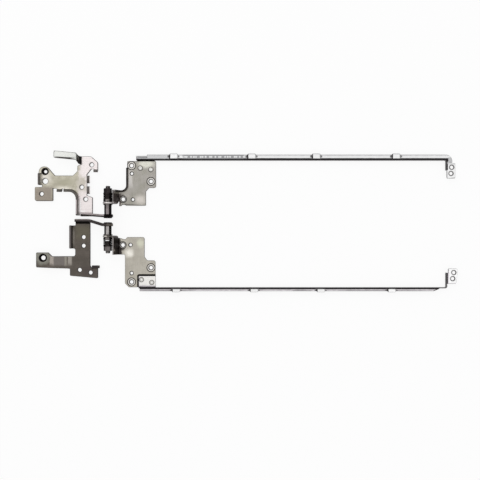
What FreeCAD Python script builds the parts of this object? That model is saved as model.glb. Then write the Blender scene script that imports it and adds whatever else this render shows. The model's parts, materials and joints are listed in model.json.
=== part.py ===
import FreeCAD, Part
import math
import os

# A left and a right screen hinge of a notebook computer, lying open flat, in millimetres.
# Each hinge is drawn in its own frame: X runs from the hinge axis towards the screen,
# Y runs out along the shaft from beside the base flange, and Z is up.

# Sheet metal: thickness and inside bend radius
BASE_SHEET = 2.0
BASE_BEND = 0.5
LID_SHEET = 1.2
LID_BEND = 0.5
RAIL_SHEET = 0.7
RAIL_BEND = 0.3

# Hinge axis and the gap between the outer faces of the two flanges
AXIS_HEIGHT = 7.0
PAIR_GAP = 4.3
KNUCKLE_RADIUS = 3.6

# Shaft with its riveted head, keyed stem and threaded end
SHAFT_DIAMETER = 5.2
SHAFT_FREE_LENGTH = 6.7
TENON_DIAMETER = 4.2
HEAD_DIAMETER = 6.0
HEAD_HEIGHT = 0.7
HEAD_ROUND = 0.6
STEM_DIAMETER = 4.0
STEM_FLATS = 3.2
THREAD_DIAMETER = 3.4
TIP_LENGTH = 1.7
TIP_CHAMFER = 0.5

# Friction stack on the stem, from the shoulder outwards
WASHER_DIAMETER = 6.6
THRUST_THICK = 0.5
FRICTION_THICK = 0.3
FRICTION_DIAMETER = 5.9
KEYED_THICK = 1.6
SPRING_THICK = 0.6
SPRING_CONE = 0.12
SPRING_DIAMETER = 6.4
SPRING_COUNT = 5
PRESSURE_THICK = 0.9
NUT_HEIGHT = 3.2
NUT_FLATS = 5.5
NUT_CHAMFER = 0.5

# Running clearances: round a shaft, and between flat faces
BORE_CLEARANCE = 0.05
FACE_CLEARANCE = 0.02

# Base flange that carries the shaft: its height at the plate and where its inner face stands
FLANGE_ROOT_HEIGHT = 6.0
LEFT_FLANGE_AT = 0.0
RIGHT_FLANGE_AT = 0.9

# Left base bracket: distances back from the axis and out along the shaft
LEFT_FLANGE_STEP = 0.7
LEFT_FLANGE_INSET = 3.6
LEFT_NECK_NEAR = 12.0
LEFT_NECK_FAR = 23.5
LEFT_NECK_TOP = 12.4
LEFT_NECK_ROUND = 5.0
LEFT_WALL_HEIGHT = 4.5
LEFT_WALL_START = 32.2
LEFT_WALL_END = -0.6
LEFT_SHOULDER = 14.0
LEFT_TAB_FACE = 13.6
LEFT_TAB_HEIGHT = 5.0
LEFT_TAB_WIDTH = 5.2
LEFT_TAB_START = 14.9
LEFT_TAB_PITCH = 7.6
LEFT_THROAT = 28.5
LEFT_DIAGONAL_END = 12.9
LEFT_HOOK_LINE = 32.7
LEFT_HOOK_WIDTH = 2.8
LEFT_HOOK_HEIGHT = 4.4
LEFT_HEAD_NEAR = 8.2
LEFT_HEAD_CORNER = 37.4
LEFT_HEAD_TOP = 41.7
LEFT_HEAD_SLOPE_END = 13.1
LEFT_HEAD_SIDE = 22.9
LEFT_HEAD_LOW = 34.9
LEFT_RISER_LOW = 36.0
LEFT_ARM_TOP = 28.0
LEFT_ARM_JOIN = 3.1
LEFT_ARM_FACE = 16.2
LEFT_EDGE_TAB_FROM = 33.8
LEFT_EDGE_TAB_WIDTH = 3.7
LEFT_EDGE_TAB_HEIGHT = 3.4
LEFT_LOBE_FOOT = 38.9
LEFT_LOBE_SIDE = 44.6
LEFT_LOBE_TOP = 34.5
LEFT_LOBE_ROUND = 3.8
LEFT_END_FACE = 50.5
LEFT_END_TAB_LOW = 21.2
LEFT_END_TAB_TOP = 29.6
LEFT_END_TAB_HEIGHT = 4.8
LEFT_PAD_FAR = 53.3
LEFT_PAD_NEAR = 40.3
LEFT_PAD_TOP = 19.8
LEFT_PAD_LOW = 9.8

# Raised finger of the left base bracket
FINGER_RISE = 5.0
FINGER_FOOT = 21.2
FINGER_RUN = 1.8
FINGER_LENGTH = 15.6
FINGER_LOW = 38.8
FINGER_WIDTH = 5.0
FINGER_SKEW = 1.5

# Right base bracket: distances back from the axis and out along the shaft
RIGHT_FLANGE_STEP = -2.2
RIGHT_PLATE_NEAR = 13.7
RIGHT_PLATE_LOW = 29.2
RIGHT_HOOK_LINE = 31.3
RIGHT_HOOK_WIDTH = 3.8
RIGHT_HOOK_HEIGHT = 5.0
RIGHT_HOOK_NOSE = 1.8
RIGHT_HEAD_NEAR = 8.2
RIGHT_FOOT_NEAR = 38.1
RIGHT_FOOT_FAR = 36.3
RIGHT_FOOT_SIDE = 28.2
RIGHT_ARM_LOW = 31.2
RIGHT_ARM_TOP = 22.3
RIGHT_PAD_FAR = 51.6
RIGHT_PAD_NEAR = 43.0
RIGHT_PAD_LOW = 30.2
RIGHT_PAD_TOP = 19.6
RIGHT_PAD_RISE = 2.8
RIGHT_RAMP_FOOT = 30.8
RIGHT_RAMP_CREST = 39.8
RIGHT_WALL_FACE = 28.0
RIGHT_WALL_LOW = 0.3
RIGHT_WALL_TOP = 16.8
RIGHT_WALL_HEIGHT = 5.0
RIGHT_NOTCH_SIDE = 24.4
RIGHT_FLANGE_FAR = 24.2

# Holes of the base brackets: centres as (back, out) and diameters
BASE_HOLE = 2.8
LEFT_SINK_HEAD = 4.9
LEFT_SINK_HOLE = 2.2
RIGHT_SINK_HEAD = 5.4
RIGHT_SINK_HOLE = 3.1
LARGE_HOLE = 3.9
LEFT_SINK = (45.9, 30.9)
LEFT_LARGE = (45.8, 24.0)
LEFT_PAD_HOLE = (48.4, 14.9)
LEFT_HEAD_HOLE = (12.6, 35.7)
LEFT_ARM_HOLE = (19.7, 19.7)
LEFT_NECK_HOLE = (16.9, 11.1)
RIGHT_SINK = (46.7, 23.4)
RIGHT_UPPER_HOLE = (18.4, 8.6)
RIGHT_LOWER_HOLE = (18.4, 14.8)
RIGHT_FOOT_HOLE = (21.2, 32.1)
RIGHT_HEAD_HOLE = (13.4, 34.0)

# Arm of the lid brackets, rising steeply to the hinge axis
ARM_SLOPE = 68.0
ARM_FOOT = 6.3
ARM_RISE = 1.3
EAR_REACH = 7.1

# Left lid bracket: distances ahead of the axis and out from the ear
LEFT_LID_NEAR = 12.8
LEFT_LID_FAR = 33.4
LEFT_LID_TOP = 30.8
LEFT_LID_LOW = -1.1
LEFT_LID_RELIEF = -0.5
LEFT_LID_RELIEF_FROM = 9.3
LEFT_LID_RELIEF_TO = 11.2
LEFT_NIB_LOW = -1.4
LEFT_NIB_FAR = 8.4
LEFT_LID_WAIST = 26.2
LEFT_LID_WAIST_TOP = 9.1
LEFT_LID_STEP = 28.4
LEFT_LID_STEP_TOP = 11.6
LEFT_ARM_EDGE = 9.9
LIP_FACE = 12.2
LIP_TOP = 26.0
LIP_HEIGHT = 2.7
LIP_ROUND = 3.5

# Right lid bracket: distances ahead of the axis and out from the ear
RIGHT_LID_NEAR = 11.2
RIGHT_LID_FAR = 33.0
RIGHT_LID_TOP = 37.0
RIGHT_LID_LOW = 1.1
RIGHT_LID_ARM_LOW = 2.8
RIGHT_LID_WAIST = 25.2
RIGHT_LID_WAIST_TOP = 15.3
RIGHT_LID_STEP = 27.1
RIGHT_LID_STEP_TOP = 17.8
RIGHT_LID_CHAMFER = 2.8
RIGHT_ARM_EDGE = 13.6
RECESS_NEAR = 20.0
RECESS_LOW = 27.8
RECESS_SHEAR = 0.6

# Holes of the lid brackets: centres as (ahead, out) and diameters
SEAT_HOLE = 2.6
SEAT_DIAMETER = 5.6
SEAT_DEPTH = 0.2
ARM_SEAT_DIAMETER = 4.6
LEFT_ARM_SEAT = (9.9, 3.5)
RIGHT_ARM_SEAT = (9.7, 6.8)
PILOT_HOLE = 2.0
LEFT_SEATS = ((15.9, 27.6), (29.8, 16.3))
LEFT_PILOTS = ((16.1, 21.9), (16.9, 3.3))
RIGHT_SEATS = ((29.8, 23.0), (15.9, 33.2))
RIGHT_PILOTS = ((15.2, 6.7), (16.0, 26.9))

# Eyelets that join lid bracket and rail: centres as (ahead, out)
EYELET_BODY = 2.0
EYELET_BORE = 1.2
EYELET_ROLL = 2.9
EYELET_ROLL_THICK = 0.25
EYELET_ROLL_ROUND = 0.2
LEFT_EYELETS = ((22.2, 25.8), (29.7, 24.8))
RIGHT_EYELETS = ((23.0, 31.6), (30.4, 33.6))

# Screen rails; the screw ears' holes are measured ahead of the rail's end and out from the ear
RAIL_HEIGHT = 4.0
RAIL_CLEARANCE = 0.4
RAIL_CORNER = 0.8
RAIL_END = 240.7
BUMP_LENGTH = 6.2
BUMP_RISE = 0.4
BUMP_REACH = 0.7
EAR_HOLE = 2.4
LEFT_RAIL_START = 19.5
LEFT_FLANGE_WIDTH = 4.0
LEFT_ROOT_FLANGE = 3.1
LEFT_ROOT_LENGTH = 7.8
ROOT_GROOVE_WIDTH = 0.6
ROOT_GROOVE_DEPTH = 0.3
LEFT_TAB_LOW = 22.0
LEFT_TAB_FAR = 32.4
LEFT_SLIT = 0.5
LEFT_EAR_SLIT = 29.5
LEFT_EAR_WALL = 24.2
LEFT_EAR_LOW = 18.2
LEFT_EAR_WIDTH = 6.1
LEFT_EAR_HOLES = ((3.6, 26.2), (3.1, 21.8))
LEFT_BUMPS = (46.2, 101.8, 147.8, 204.7)
RIGHT_RAIL_START = 22.0
RIGHT_FLANGE_WIDTH = 2.6
RIGHT_BARE_LENGTH = 5.2
RIGHT_FLANGE_TAPER = 4.0
RIGHT_TAB_LOW = 28.8
RIGHT_TAB_NEAR = 21.0
RIGHT_TAB_FAR = 33.2
RIGHT_EAR_TOP = 34.4
RIGHT_EAR_WALL = 26.6
RIGHT_EAR_LOW = 23.5
RIGHT_EAR_WIDTH = 8.2
RIGHT_EAR_SLANT = 1.6
RIGHT_EAR_HOLES = ((5.1, 26.4), (4.3, 30.7))
RIGHT_BUMPS = (47.9, 103.4, 151.0, 201.5)

# Rounding of sheared corners
CORNER = 0.8
ROUND_CORNER = 1.5
SHARP_CORNER = 0.01

# Values worked out from the sizes above
UP = FreeCAD.Vector(0, 0, 1)
ALONG = FreeCAD.Vector(0, 1, 0)
BASE_TURN = BASE_BEND + BASE_SHEET
LID_TURN = LID_BEND + LID_SHEET
RAIL_TURN = RAIL_BEND + RAIL_SHEET
LID_FLOOR = RAIL_SHEET
LID_TOP = LID_FLOOR + LID_SHEET
RIGHT_FLANGE_END = RAIL_END - RIGHT_BARE_LENGTH
SPRING_PITCH = SPRING_THICK + SPRING_CONE + FACE_CLEARANCE
THRUST_AT = SHAFT_FREE_LENGTH
INNER_FRICTION_AT = THRUST_AT + THRUST_THICK + FACE_CLEARANCE
EAR_AT = INNER_FRICTION_AT + FRICTION_THICK
OUTER_FRICTION_AT = EAR_AT + LID_SHEET
KEYED_AT = OUTER_FRICTION_AT + FRICTION_THICK + FACE_CLEARANCE
SPRINGS_AT = KEYED_AT + KEYED_THICK + FACE_CLEARANCE
PRESSURE_AT = SPRINGS_AT + SPRING_COUNT * SPRING_PITCH
NUT_AT = PRESSURE_AT + PRESSURE_THICK
TIP_AT = NUT_AT + NUT_HEIGHT + TIP_LENGTH
TALL = 4 * AXIS_HEIGHT


def flat(point):
    """A plan point as a vector."""
    return FreeCAD.Vector(point[0], point[1], 0)


def segments(points, closed):
    """Straight and round stretches through corners given as (x, y) or (x, y, radius)."""
    count = len(points)
    spots = [flat(p) for p in points]
    sides = [(spots[(i + 1) % count] - spots[i]) for i in range(count)]
    turns = [0.0] * count
    cuts = [0.0] * count
    for i in range(count):
        ends = not closed and i in (0, count - 1)
        if ends or len(points[i]) < 3:
            continue
        before = sides[i - 1]
        after = sides[i]
        turns[i] = math.atan2(before.cross(after).z, before.dot(after))
        cuts[i] = points[i][2] * math.tan(abs(turns[i]) / 2)
    scales = [1.0] * count
    for i in range(count if closed else count - 1):
        j = (i + 1) % count
        wanted = cuts[i] + cuts[j]
        if wanted > sides[i].Length:
            share = sides[i].Length / wanted
            scales[i] = min(scales[i], share)
            scales[j] = min(scales[j], share)
    found = []
    last = None
    order = list(range(count)) + ([0] if closed else [])
    for i in order:
        cut = cuts[i] * scales[i]
        if cut < 1e-6:
            start = end = spots[i]
            bend = None
        else:
            before = FreeCAD.Vector(sides[i - 1]).normalize()
            after = FreeCAD.Vector(sides[i]).normalize()
            start = spots[i] - before * cut
            end = spots[i] + after * cut
            radius = cut / math.tan(abs(turns[i]) / 2)
            inward = (after - before).normalize()
            centre = spots[i] + inward * (radius / math.cos(turns[i] / 2))
            bend = (centre - inward * radius, centre, math.degrees(turns[i]))
        if last is not None and (start - last).Length > 1e-6:
            found.append((last, start, None))
        if bend is not None and (last is None or i != order[0]):
            found.append((start, end, bend))
        last = end
    return found


def outline(points):
    """Flat face inside a closed outline with rounded corners."""
    edges = []
    for start, end, bend in segments(points, True):
        if bend is None:
            edges.append(Part.LineSegment(start, end).toShape())
        else:
            edges.append(Part.Arc(start, bend[0], end).toShape())
    return Part.Face(Part.Wire(edges))


def plan(points, low, high):
    """Solid with a plan outline between two heights."""
    shape = outline(points)
    shape.translate(UP * low)
    return shape.extrude(UP * (high - low))


def side(points, near, far):
    """Solid with an outline in the X-Z plane between two places along the shaft."""
    shape = outline(points)
    shape.rotate(FreeCAD.Vector(0, 0, 0), FreeCAD.Vector(1, 0, 0), 90)
    shape.translate(ALONG * near)
    return shape.extrude(ALONG * (far - near))


def strip(points, thick, turn):
    """Outline of a bent sheet whose underside runs through the points, thick to the left."""
    spots = [flat(p) for p in points]
    under = [points[0]]
    upper = []
    for i, spot in enumerate(spots):
        ends = [spots[j + 1] - spots[j] for j in (i - 1, i) if 0 <= j < len(spots) - 1]
        normals = [FreeCAD.Vector(-e.y, e.x, 0).normalize() for e in ends]
        if len(normals) == 1:
            lifted = spot + normals[0] * thick
            upper.append((lifted.x, lifted.y))
            continue
        shared = (normals[0] + normals[1]) * (1 / (1 + normals[0].dot(normals[1])))
        lifted = spot + shared * thick
        inner = max(turn - thick, SHARP_CORNER)
        left_turn = ends[0].cross(ends[1]).z > 0
        upper.append((lifted.x, lifted.y, inner if left_turn else turn))
        under.append((spot.x, spot.y, turn if left_turn else inner))
    under.append(points[-1])
    return under + upper[::-1]


def joined(shapes):
    """One clean solid from pieces that meet or overlap."""
    return shapes[0].multiFuse(shapes[1:]).removeSplitter()


def sweep(section, points, hand):
    """Solid of a section, drawn as (outward, up), led along a plan path; hand 1 is left, -1 right."""
    pieces = []
    for start, end, bend in segments(points, False):
        heading = end - start
        if bend is not None:
            heading = UP.cross(start - bend[1]) * (1 if bend[2] > 0 else -1)
        heading.normalize()
        outward = UP.cross(heading) * hand
        turn = FreeCAD.Rotation(outward, UP, outward.cross(UP), "XYZ")
        face = outline(section)
        face.Placement = FreeCAD.Placement(start, turn)
        if bend is None:
            pieces.append(face.extrude(end - start))
        else:
            pieces.append(face.revolve(bend[1], UP, bend[2]))
    return joined(pieces) if len(pieces) > 1 else pieces[0]


def fold(points, hand, height, sheet, turn):
    """Wall bent up 90 degrees along the edge of a plate."""
    section = [
        (0, 0),
        (turn, 0, turn),
        (turn, height),
        (turn - sheet, height),
        (turn - sheet, sheet, turn - sheet),
        (0, sheet),
    ]
    return sweep(section, points, hand)


def tab(points, hand, height, sheet, turn):
    """Straight bent-up tab with its two top corners rounded."""
    wall = fold(points, hand, height, sheet, turn)
    run = (flat(points[1]) - flat(points[0])).normalize()
    tops = []
    for edge in wall.Edges:
        ends = [v.Point for v in edge.Vertexes]
        level = len(ends) == 2 and all(abs(p.z - height) < 1e-6 for p in ends)
        if level and abs((ends[1] - ends[0]).dot(run)) < 1e-6:
            tops.append(edge)
    return wall.makeFillet(CORNER, tops)


def drill(centre, diameter):
    """Upright cutter for a round hole."""
    return Part.makeCylinder(diameter / 2, 2 * TALL, FreeCAD.Vector(centre[0], centre[1], -TALL))


def sink(centre, hole, head, top):
    """Cutter for a countersunk hole below a sheet's top face."""
    depth = (head - hole) / 2
    spot = FreeCAD.Vector(centre[0], centre[1], top - depth)
    cone = Part.makeCone(hole / 2, head / 2, depth, spot)
    return cone.fuse(drill(centre, hole))


def back(centre):
    """A hole's centre given as (back, out), in plan coordinates."""
    return (-centre[0], centre[1])


def round_bar(diameter, start, end):
    """Cylinder on the hinge axis between two places along the shaft."""
    spot = FreeCAD.Vector(0, start, AXIS_HEIGHT)
    return Part.makeCylinder(diameter / 2, end - start, spot, ALONG)


def turned(points):
    """Solid of revolution about the hinge axis from an outline in (radius, along)."""
    shape = outline(points)
    shape.translate(UP * AXIS_HEIGHT)
    return shape.revolve(FreeCAD.Vector(0, 0, AXIS_HEIGHT), ALONG, 360)


def keyed_bar(grow, start, end):
    """Stem section with two flats, grown by a clearance on every side."""
    flats = STEM_FLATS + 2 * grow
    wide = WASHER_DIAMETER
    spot = FreeCAD.Vector(-wide / 2, start, AXIS_HEIGHT - flats / 2)
    slab = Part.makeBox(wide, end - start, flats, spot)
    return round_bar(STEM_DIAMETER + 2 * grow, start, end).common(slab)


def hinge_shaft(flange_at):
    """Turned shaft: riveted head, tenon in the flange, body, keyed stem and threaded end."""
    rear = flange_at - BASE_SHEET
    head_at = rear - HEAD_HEIGHT
    body = turned([
        (0, head_at),
        (HEAD_DIAMETER / 2, head_at, HEAD_ROUND),
        (HEAD_DIAMETER / 2, rear),
        (TENON_DIAMETER / 2, rear),
        (TENON_DIAMETER / 2, flange_at),
        (SHAFT_DIAMETER / 2, flange_at),
        (SHAFT_DIAMETER / 2, THRUST_AT),
        (0, THRUST_AT),
    ])
    thread_end = turned([
        (0, NUT_AT),
        (THREAD_DIAMETER / 2, NUT_AT),
        (THREAD_DIAMETER / 2, TIP_AT - TIP_CHAMFER),
        (THREAD_DIAMETER / 2 - TIP_CHAMFER, TIP_AT),
        (0, TIP_AT),
    ])
    stem = keyed_bar(0, THRUST_AT, NUT_AT)
    return joined([body, stem, thread_end])


def round_washer(at, thick):
    """Friction washer that turns on the stem with the ear."""
    disc = round_bar(FRICTION_DIAMETER, at, at + thick)
    return disc.cut(round_bar(STEM_DIAMETER + 2 * BORE_CLEARANCE, at, at + thick))


def keyed_washer(at, thick):
    """Washer locked on the flats of the stem."""
    disc = round_bar(WASHER_DIAMETER, at, at + thick)
    return disc.cut(keyed_bar(BORE_CLEARANCE, at, at + thick))


def disc_springs():
    """Coned spring discs, stacked face to face and back to back."""
    inner = STEM_DIAMETER / 2 + BORE_CLEARANCE
    outer = SPRING_DIAMETER / 2
    discs = []
    for i in range(SPRING_COUNT):
        at = SPRINGS_AT + i * SPRING_PITCH
        inner_lift = 0 if i % 2 == 0 else SPRING_CONE
        outer_lift = SPRING_CONE - inner_lift
        discs.append(turned([
            (inner, at + inner_lift),
            (outer, at + outer_lift),
            (outer, at + outer_lift + SPRING_THICK),
            (inner, at + inner_lift + SPRING_THICK),
        ]))
    return Part.makeCompound(discs)


def lock_nut():
    """Hexagon nut with turned chamfers."""
    corner = NUT_FLATS / math.sqrt(3)
    points = []
    for i in range(6):
        angle = math.radians(60 * i + 30)
        points.append((corner * math.cos(angle), AXIS_HEIGHT + corner * math.sin(angle)))
    end = NUT_AT + NUT_HEIGHT
    blank = turned([
        (0, NUT_AT),
        (corner, NUT_AT),
        (corner, end - NUT_CHAMFER),
        (corner - NUT_CHAMFER, end),
        (0, end),
    ])
    nut = side(points, NUT_AT, end).common(blank)
    return nut.cut(round_bar(THREAD_DIAMETER + 2 * FACE_CLEARANCE, NUT_AT, end))


def base_flange(far, near, step, flange_at):
    """Upright flange that slants from the plate to the shaft and is rounded at its end."""
    rear = flange_at - BASE_SHEET
    run = [
        (-far, step - BASE_SHEET),
        (-near, step - BASE_SHEET),
        (-KNUCKLE_RADIUS, rear),
        (KNUCKLE_RADIUS, rear),
    ]
    band = plan(strip(run, BASE_SHEET, BASE_TURN), 0, TALL)
    low = AXIS_HEIGHT - KNUCKLE_RADIUS
    high = AXIS_HEIGHT + KNUCKLE_RADIUS
    face = side([
        (-far, BASE_TURN),
        (-near, BASE_TURN),
        (0, low, KNUCKLE_RADIUS),
        (KNUCKLE_RADIUS, low, KNUCKLE_RADIUS),
        (KNUCKLE_RADIUS, high, KNUCKLE_RADIUS),
        (0, high, KNUCKLE_RADIUS),
        (-far, FLANGE_ROOT_HEIGHT, ROUND_CORNER),
    ], -TALL, TALL)
    bore = round_bar(TENON_DIAMETER + 2 * FACE_CLEARANCE, rear, flange_at)
    return band.common(face).cut(bore)


def flange_bend(far, near, step):
    """Quarter bend between the plate and its upright flange."""
    line = step + BASE_BEND
    section = [
        (0, 0),
        (BASE_TURN, 0, BASE_TURN),
        (BASE_TURN, BASE_TURN),
        (BASE_BEND, BASE_TURN),
        (BASE_BEND, BASE_SHEET, BASE_BEND),
        (0, BASE_SHEET),
    ]
    return sweep(section, [(-far, line), (-near, line)], -1)


def left_base_plate():
    """Flat plate of the left base bracket."""
    flange_line = LEFT_FLANGE_STEP + BASE_BEND
    tab_line = -LEFT_TAB_FACE - BASE_TURN
    neck_line = -LEFT_NECK_FAR + BASE_TURN
    arm_line = LEFT_ARM_FACE + BASE_TURN
    end_line = -LEFT_END_FACE + BASE_TURN
    riser = FINGER_FOOT - CORNER
    return plan([
        (-LEFT_NECK_NEAR, flange_line),
        (-LEFT_NECK_NEAR, LEFT_NECK_TOP, CORNER),
        (tab_line, LEFT_SHOULDER),
        (tab_line, LEFT_THROAT, CORNER),
        (-LEFT_DIAGONAL_END, LEFT_HOOK_LINE, CORNER),
        (-LEFT_HEAD_NEAR, LEFT_HOOK_LINE),
        (-LEFT_HEAD_NEAR, LEFT_HEAD_CORNER, ROUND_CORNER),
        (-LEFT_HEAD_SLOPE_END, LEFT_HEAD_TOP, ROUND_CORNER),
        (-riser, LEFT_HEAD_TOP),
        (-riser, LEFT_RISER_LOW),
        (-LEFT_HEAD_SIDE, LEFT_HEAD_LOW, CORNER),
        (-LEFT_HEAD_SIDE, LEFT_ARM_TOP + LEFT_ARM_JOIN, CORNER),
        (-LEFT_HEAD_SIDE - LEFT_ARM_JOIN, LEFT_ARM_TOP, CORNER),
        (-LEFT_LOBE_FOOT, LEFT_ARM_TOP, ROUND_CORNER),
        (-LEFT_LOBE_SIDE, LEFT_LOBE_TOP, LEFT_LOBE_ROUND),
        (-LEFT_END_FACE, LEFT_LOBE_TOP, LEFT_LOBE_ROUND),
        (-LEFT_END_FACE, LEFT_END_TAB_TOP),
        (end_line, LEFT_END_TAB_TOP),
        (end_line, LEFT_PAD_TOP, CORNER),
        (-LEFT_PAD_FAR, LEFT_PAD_TOP, CORNER),
        (-LEFT_PAD_FAR, LEFT_PAD_LOW, ROUND_CORNER),
        (-LEFT_PAD_NEAR, LEFT_PAD_LOW, CORNER),
        (-LEFT_PAD_NEAR, arm_line),
        (neck_line, arm_line, LEFT_NECK_ROUND + BASE_TURN),
        (neck_line, flange_line),
    ], 0, BASE_SHEET)


def raised_finger():
    """Finger of the left base bracket, bent up and level again."""
    middle = (FINGER_FOOT + LEFT_HEAD_SLOPE_END) / 2
    crest = FINGER_FOOT + FINGER_RUN
    tip = crest + FINGER_LENGTH
    rise = strip([
        (-tip - FINGER_WIDTH, FINGER_RISE),
        (-crest, FINGER_RISE),
        (-FINGER_FOOT, 0),
        (-middle, 0),
    ], BASE_SHEET, BASE_TURN)
    shape = plan([
        (-middle, LEFT_RISER_LOW),
        (-FINGER_FOOT, LEFT_RISER_LOW),
        (-crest, FINGER_LOW, CORNER),
        (-tip, FINGER_LOW + FINGER_SKEW, CORNER),
        (-tip, FINGER_LOW + FINGER_SKEW + FINGER_WIDTH, CORNER),
        (-crest, FINGER_LOW + FINGER_WIDTH, CORNER),
        (-FINGER_FOOT, LEFT_HEAD_TOP),
        (-middle, LEFT_HEAD_TOP),
    ], 0, TALL)
    return side(rise, 0, LEFT_HEAD_TOP + 2 * FINGER_WIDTH).common(shape)


def left_base_walls():
    """Tabs and walls bent up round the left base bracket."""
    tab_line = -LEFT_TAB_FACE - BASE_TURN
    neck_line = -LEFT_NECK_FAR + BASE_TURN
    arm_line = LEFT_ARM_FACE + BASE_TURN
    end_line = -LEFT_END_FACE + BASE_TURN
    walls = []
    for i in range(2):
        low = LEFT_TAB_START + i * LEFT_TAB_PITCH
        run = [(tab_line, low), (tab_line, low + LEFT_TAB_WIDTH)]
        walls.append(tab(run, -1, LEFT_TAB_HEIGHT, BASE_SHEET, BASE_TURN))
    hook_far = -LEFT_HEAD_NEAR - LEFT_HOOK_WIDTH
    hook = [(hook_far, LEFT_HOOK_LINE), (-LEFT_HEAD_NEAR, LEFT_HOOK_LINE)]
    walls.append(tab(hook, -1, LEFT_HOOK_HEIGHT, BASE_SHEET, BASE_TURN))
    end = [(end_line, LEFT_END_TAB_LOW), (end_line, LEFT_END_TAB_TOP)]
    walls.append(tab(end, 1, LEFT_END_TAB_HEIGHT, BASE_SHEET, BASE_TURN))
    edge_far = -LEFT_EDGE_TAB_FROM - LEFT_EDGE_TAB_WIDTH
    edge = [(edge_far, arm_line), (-LEFT_EDGE_TAB_FROM, arm_line)]
    walls.append(tab(edge, -1, LEFT_EDGE_TAB_HEIGHT, BASE_SHEET, BASE_TURN))
    curve = [
        (-LEFT_WALL_START, arm_line),
        (neck_line, arm_line, LEFT_NECK_ROUND + BASE_TURN),
        (neck_line, LEFT_WALL_END),
    ]
    walls.append(fold(curve, -1, LEFT_WALL_HEIGHT, BASE_SHEET, BASE_TURN))
    return walls


def left_base_bracket():
    """Left base bracket: one stamped and folded sheet."""
    far = LEFT_NECK_FAR - LEFT_FLANGE_INSET
    flange = [
        base_flange(far, LEFT_NECK_NEAR, LEFT_FLANGE_STEP, LEFT_FLANGE_AT),
        flange_bend(far, LEFT_NECK_NEAR, LEFT_FLANGE_STEP),
    ]
    body = joined([left_base_plate(), raised_finger()] + left_base_walls() + flange)
    cutters = [drill(back(LEFT_LARGE), LARGE_HOLE)]
    cutters.append(sink(back(LEFT_SINK), LEFT_SINK_HOLE, LEFT_SINK_HEAD, BASE_SHEET))
    for centre in (LEFT_PAD_HOLE, LEFT_HEAD_HOLE, LEFT_ARM_HOLE, LEFT_NECK_HOLE):
        cutters.append(drill(back(centre), BASE_HOLE))
    return body.cut(cutters)


def right_base_plate():
    """Plate of the right base bracket with its arm ramped up to the pad."""
    flange_line = RIGHT_FLANGE_STEP + BASE_BEND
    wall_line = -RIGHT_WALL_FACE + BASE_TURN
    level = strip([
        (-RIGHT_PAD_FAR - RIGHT_RAMP_FOOT, RIGHT_PAD_RISE),
        (-RIGHT_RAMP_CREST, RIGHT_PAD_RISE),
        (-RIGHT_RAMP_FOOT, 0),
        (0, 0),
    ], BASE_SHEET, BASE_TURN)
    shape = plan([
        (-RIGHT_PLATE_NEAR, flange_line),
        (-RIGHT_PLATE_NEAR, RIGHT_PLATE_LOW, ROUND_CORNER),
        (-RIGHT_HEAD_NEAR - RIGHT_HOOK_WIDTH, RIGHT_HOOK_LINE),
        (-RIGHT_HEAD_NEAR, RIGHT_HOOK_LINE),
        (-RIGHT_HEAD_NEAR, RIGHT_FOOT_NEAR, CORNER),
        (-RIGHT_FOOT_SIDE, RIGHT_FOOT_FAR, CORNER),
        (-RIGHT_FOOT_SIDE, RIGHT_ARM_LOW, CORNER),
        (-RIGHT_PAD_FAR, RIGHT_PAD_LOW, CORNER),
        (-RIGHT_PAD_FAR, RIGHT_PAD_TOP, CORNER),
        (-RIGHT_PAD_NEAR, RIGHT_PAD_TOP, CORNER),
        (-RIGHT_PAD_NEAR + RIGHT_ARM_TOP - RIGHT_PAD_TOP, RIGHT_ARM_TOP, CORNER),
        (-RIGHT_NOTCH_SIDE, RIGHT_ARM_TOP, ROUND_CORNER),
        (-RIGHT_NOTCH_SIDE, RIGHT_WALL_TOP, ROUND_CORNER),
        (wall_line, RIGHT_WALL_TOP),
        (wall_line, RIGHT_WALL_LOW),
        (-RIGHT_FLANGE_FAR, RIGHT_WALL_LOW),
        (-RIGHT_FLANGE_FAR, flange_line),
    ], 0, TALL)
    return side(level, -TALL, 2 * TALL).common(shape)


def hook_nose():
    """Nose of the right bracket's hook, reaching past the plate's edge."""
    face = RIGHT_HOOK_LINE - BASE_TURN
    tip = -RIGHT_HEAD_NEAR + RIGHT_HOOK_NOSE
    return side([
        (-RIGHT_HEAD_NEAR - CORNER, BASE_TURN),
        (-RIGHT_HEAD_NEAR, BASE_TURN),
        (tip, BASE_TURN + CORNER, CORNER),
        (tip, RIGHT_HOOK_HEIGHT, CORNER),
        (-RIGHT_HEAD_NEAR - CORNER, RIGHT_HOOK_HEIGHT),
    ], face, face + BASE_SHEET)


def right_base_bracket():
    """Right base bracket: one stamped and folded sheet."""
    wall_line = -RIGHT_WALL_FACE + BASE_TURN
    wall = [(wall_line, RIGHT_WALL_LOW), (wall_line, RIGHT_WALL_TOP)]
    hook_far = -RIGHT_HEAD_NEAR - RIGHT_HOOK_WIDTH
    hook = [(hook_far, RIGHT_HOOK_LINE), (-RIGHT_HEAD_NEAR, RIGHT_HOOK_LINE)]
    body = joined([
        right_base_plate(),
        tab(wall, 1, RIGHT_WALL_HEIGHT, BASE_SHEET, BASE_TURN),
        tab(hook, -1, RIGHT_HOOK_HEIGHT, BASE_SHEET, BASE_TURN),
        hook_nose(),
        base_flange(RIGHT_FLANGE_FAR, RIGHT_PLATE_NEAR, RIGHT_FLANGE_STEP, RIGHT_FLANGE_AT),
        flange_bend(RIGHT_FLANGE_FAR, RIGHT_PLATE_NEAR, RIGHT_FLANGE_STEP),
    ])
    pad_top = RIGHT_PAD_RISE + BASE_SHEET
    cutters = [sink(back(RIGHT_SINK), RIGHT_SINK_HOLE, RIGHT_SINK_HEAD, pad_top)]
    for centre in (RIGHT_UPPER_HOLE, RIGHT_LOWER_HOLE, RIGHT_FOOT_HOLE, RIGHT_HEAD_HOLE):
        cutters.append(drill(back(centre), BASE_HOLE))
    return body.cut(cutters)


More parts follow.
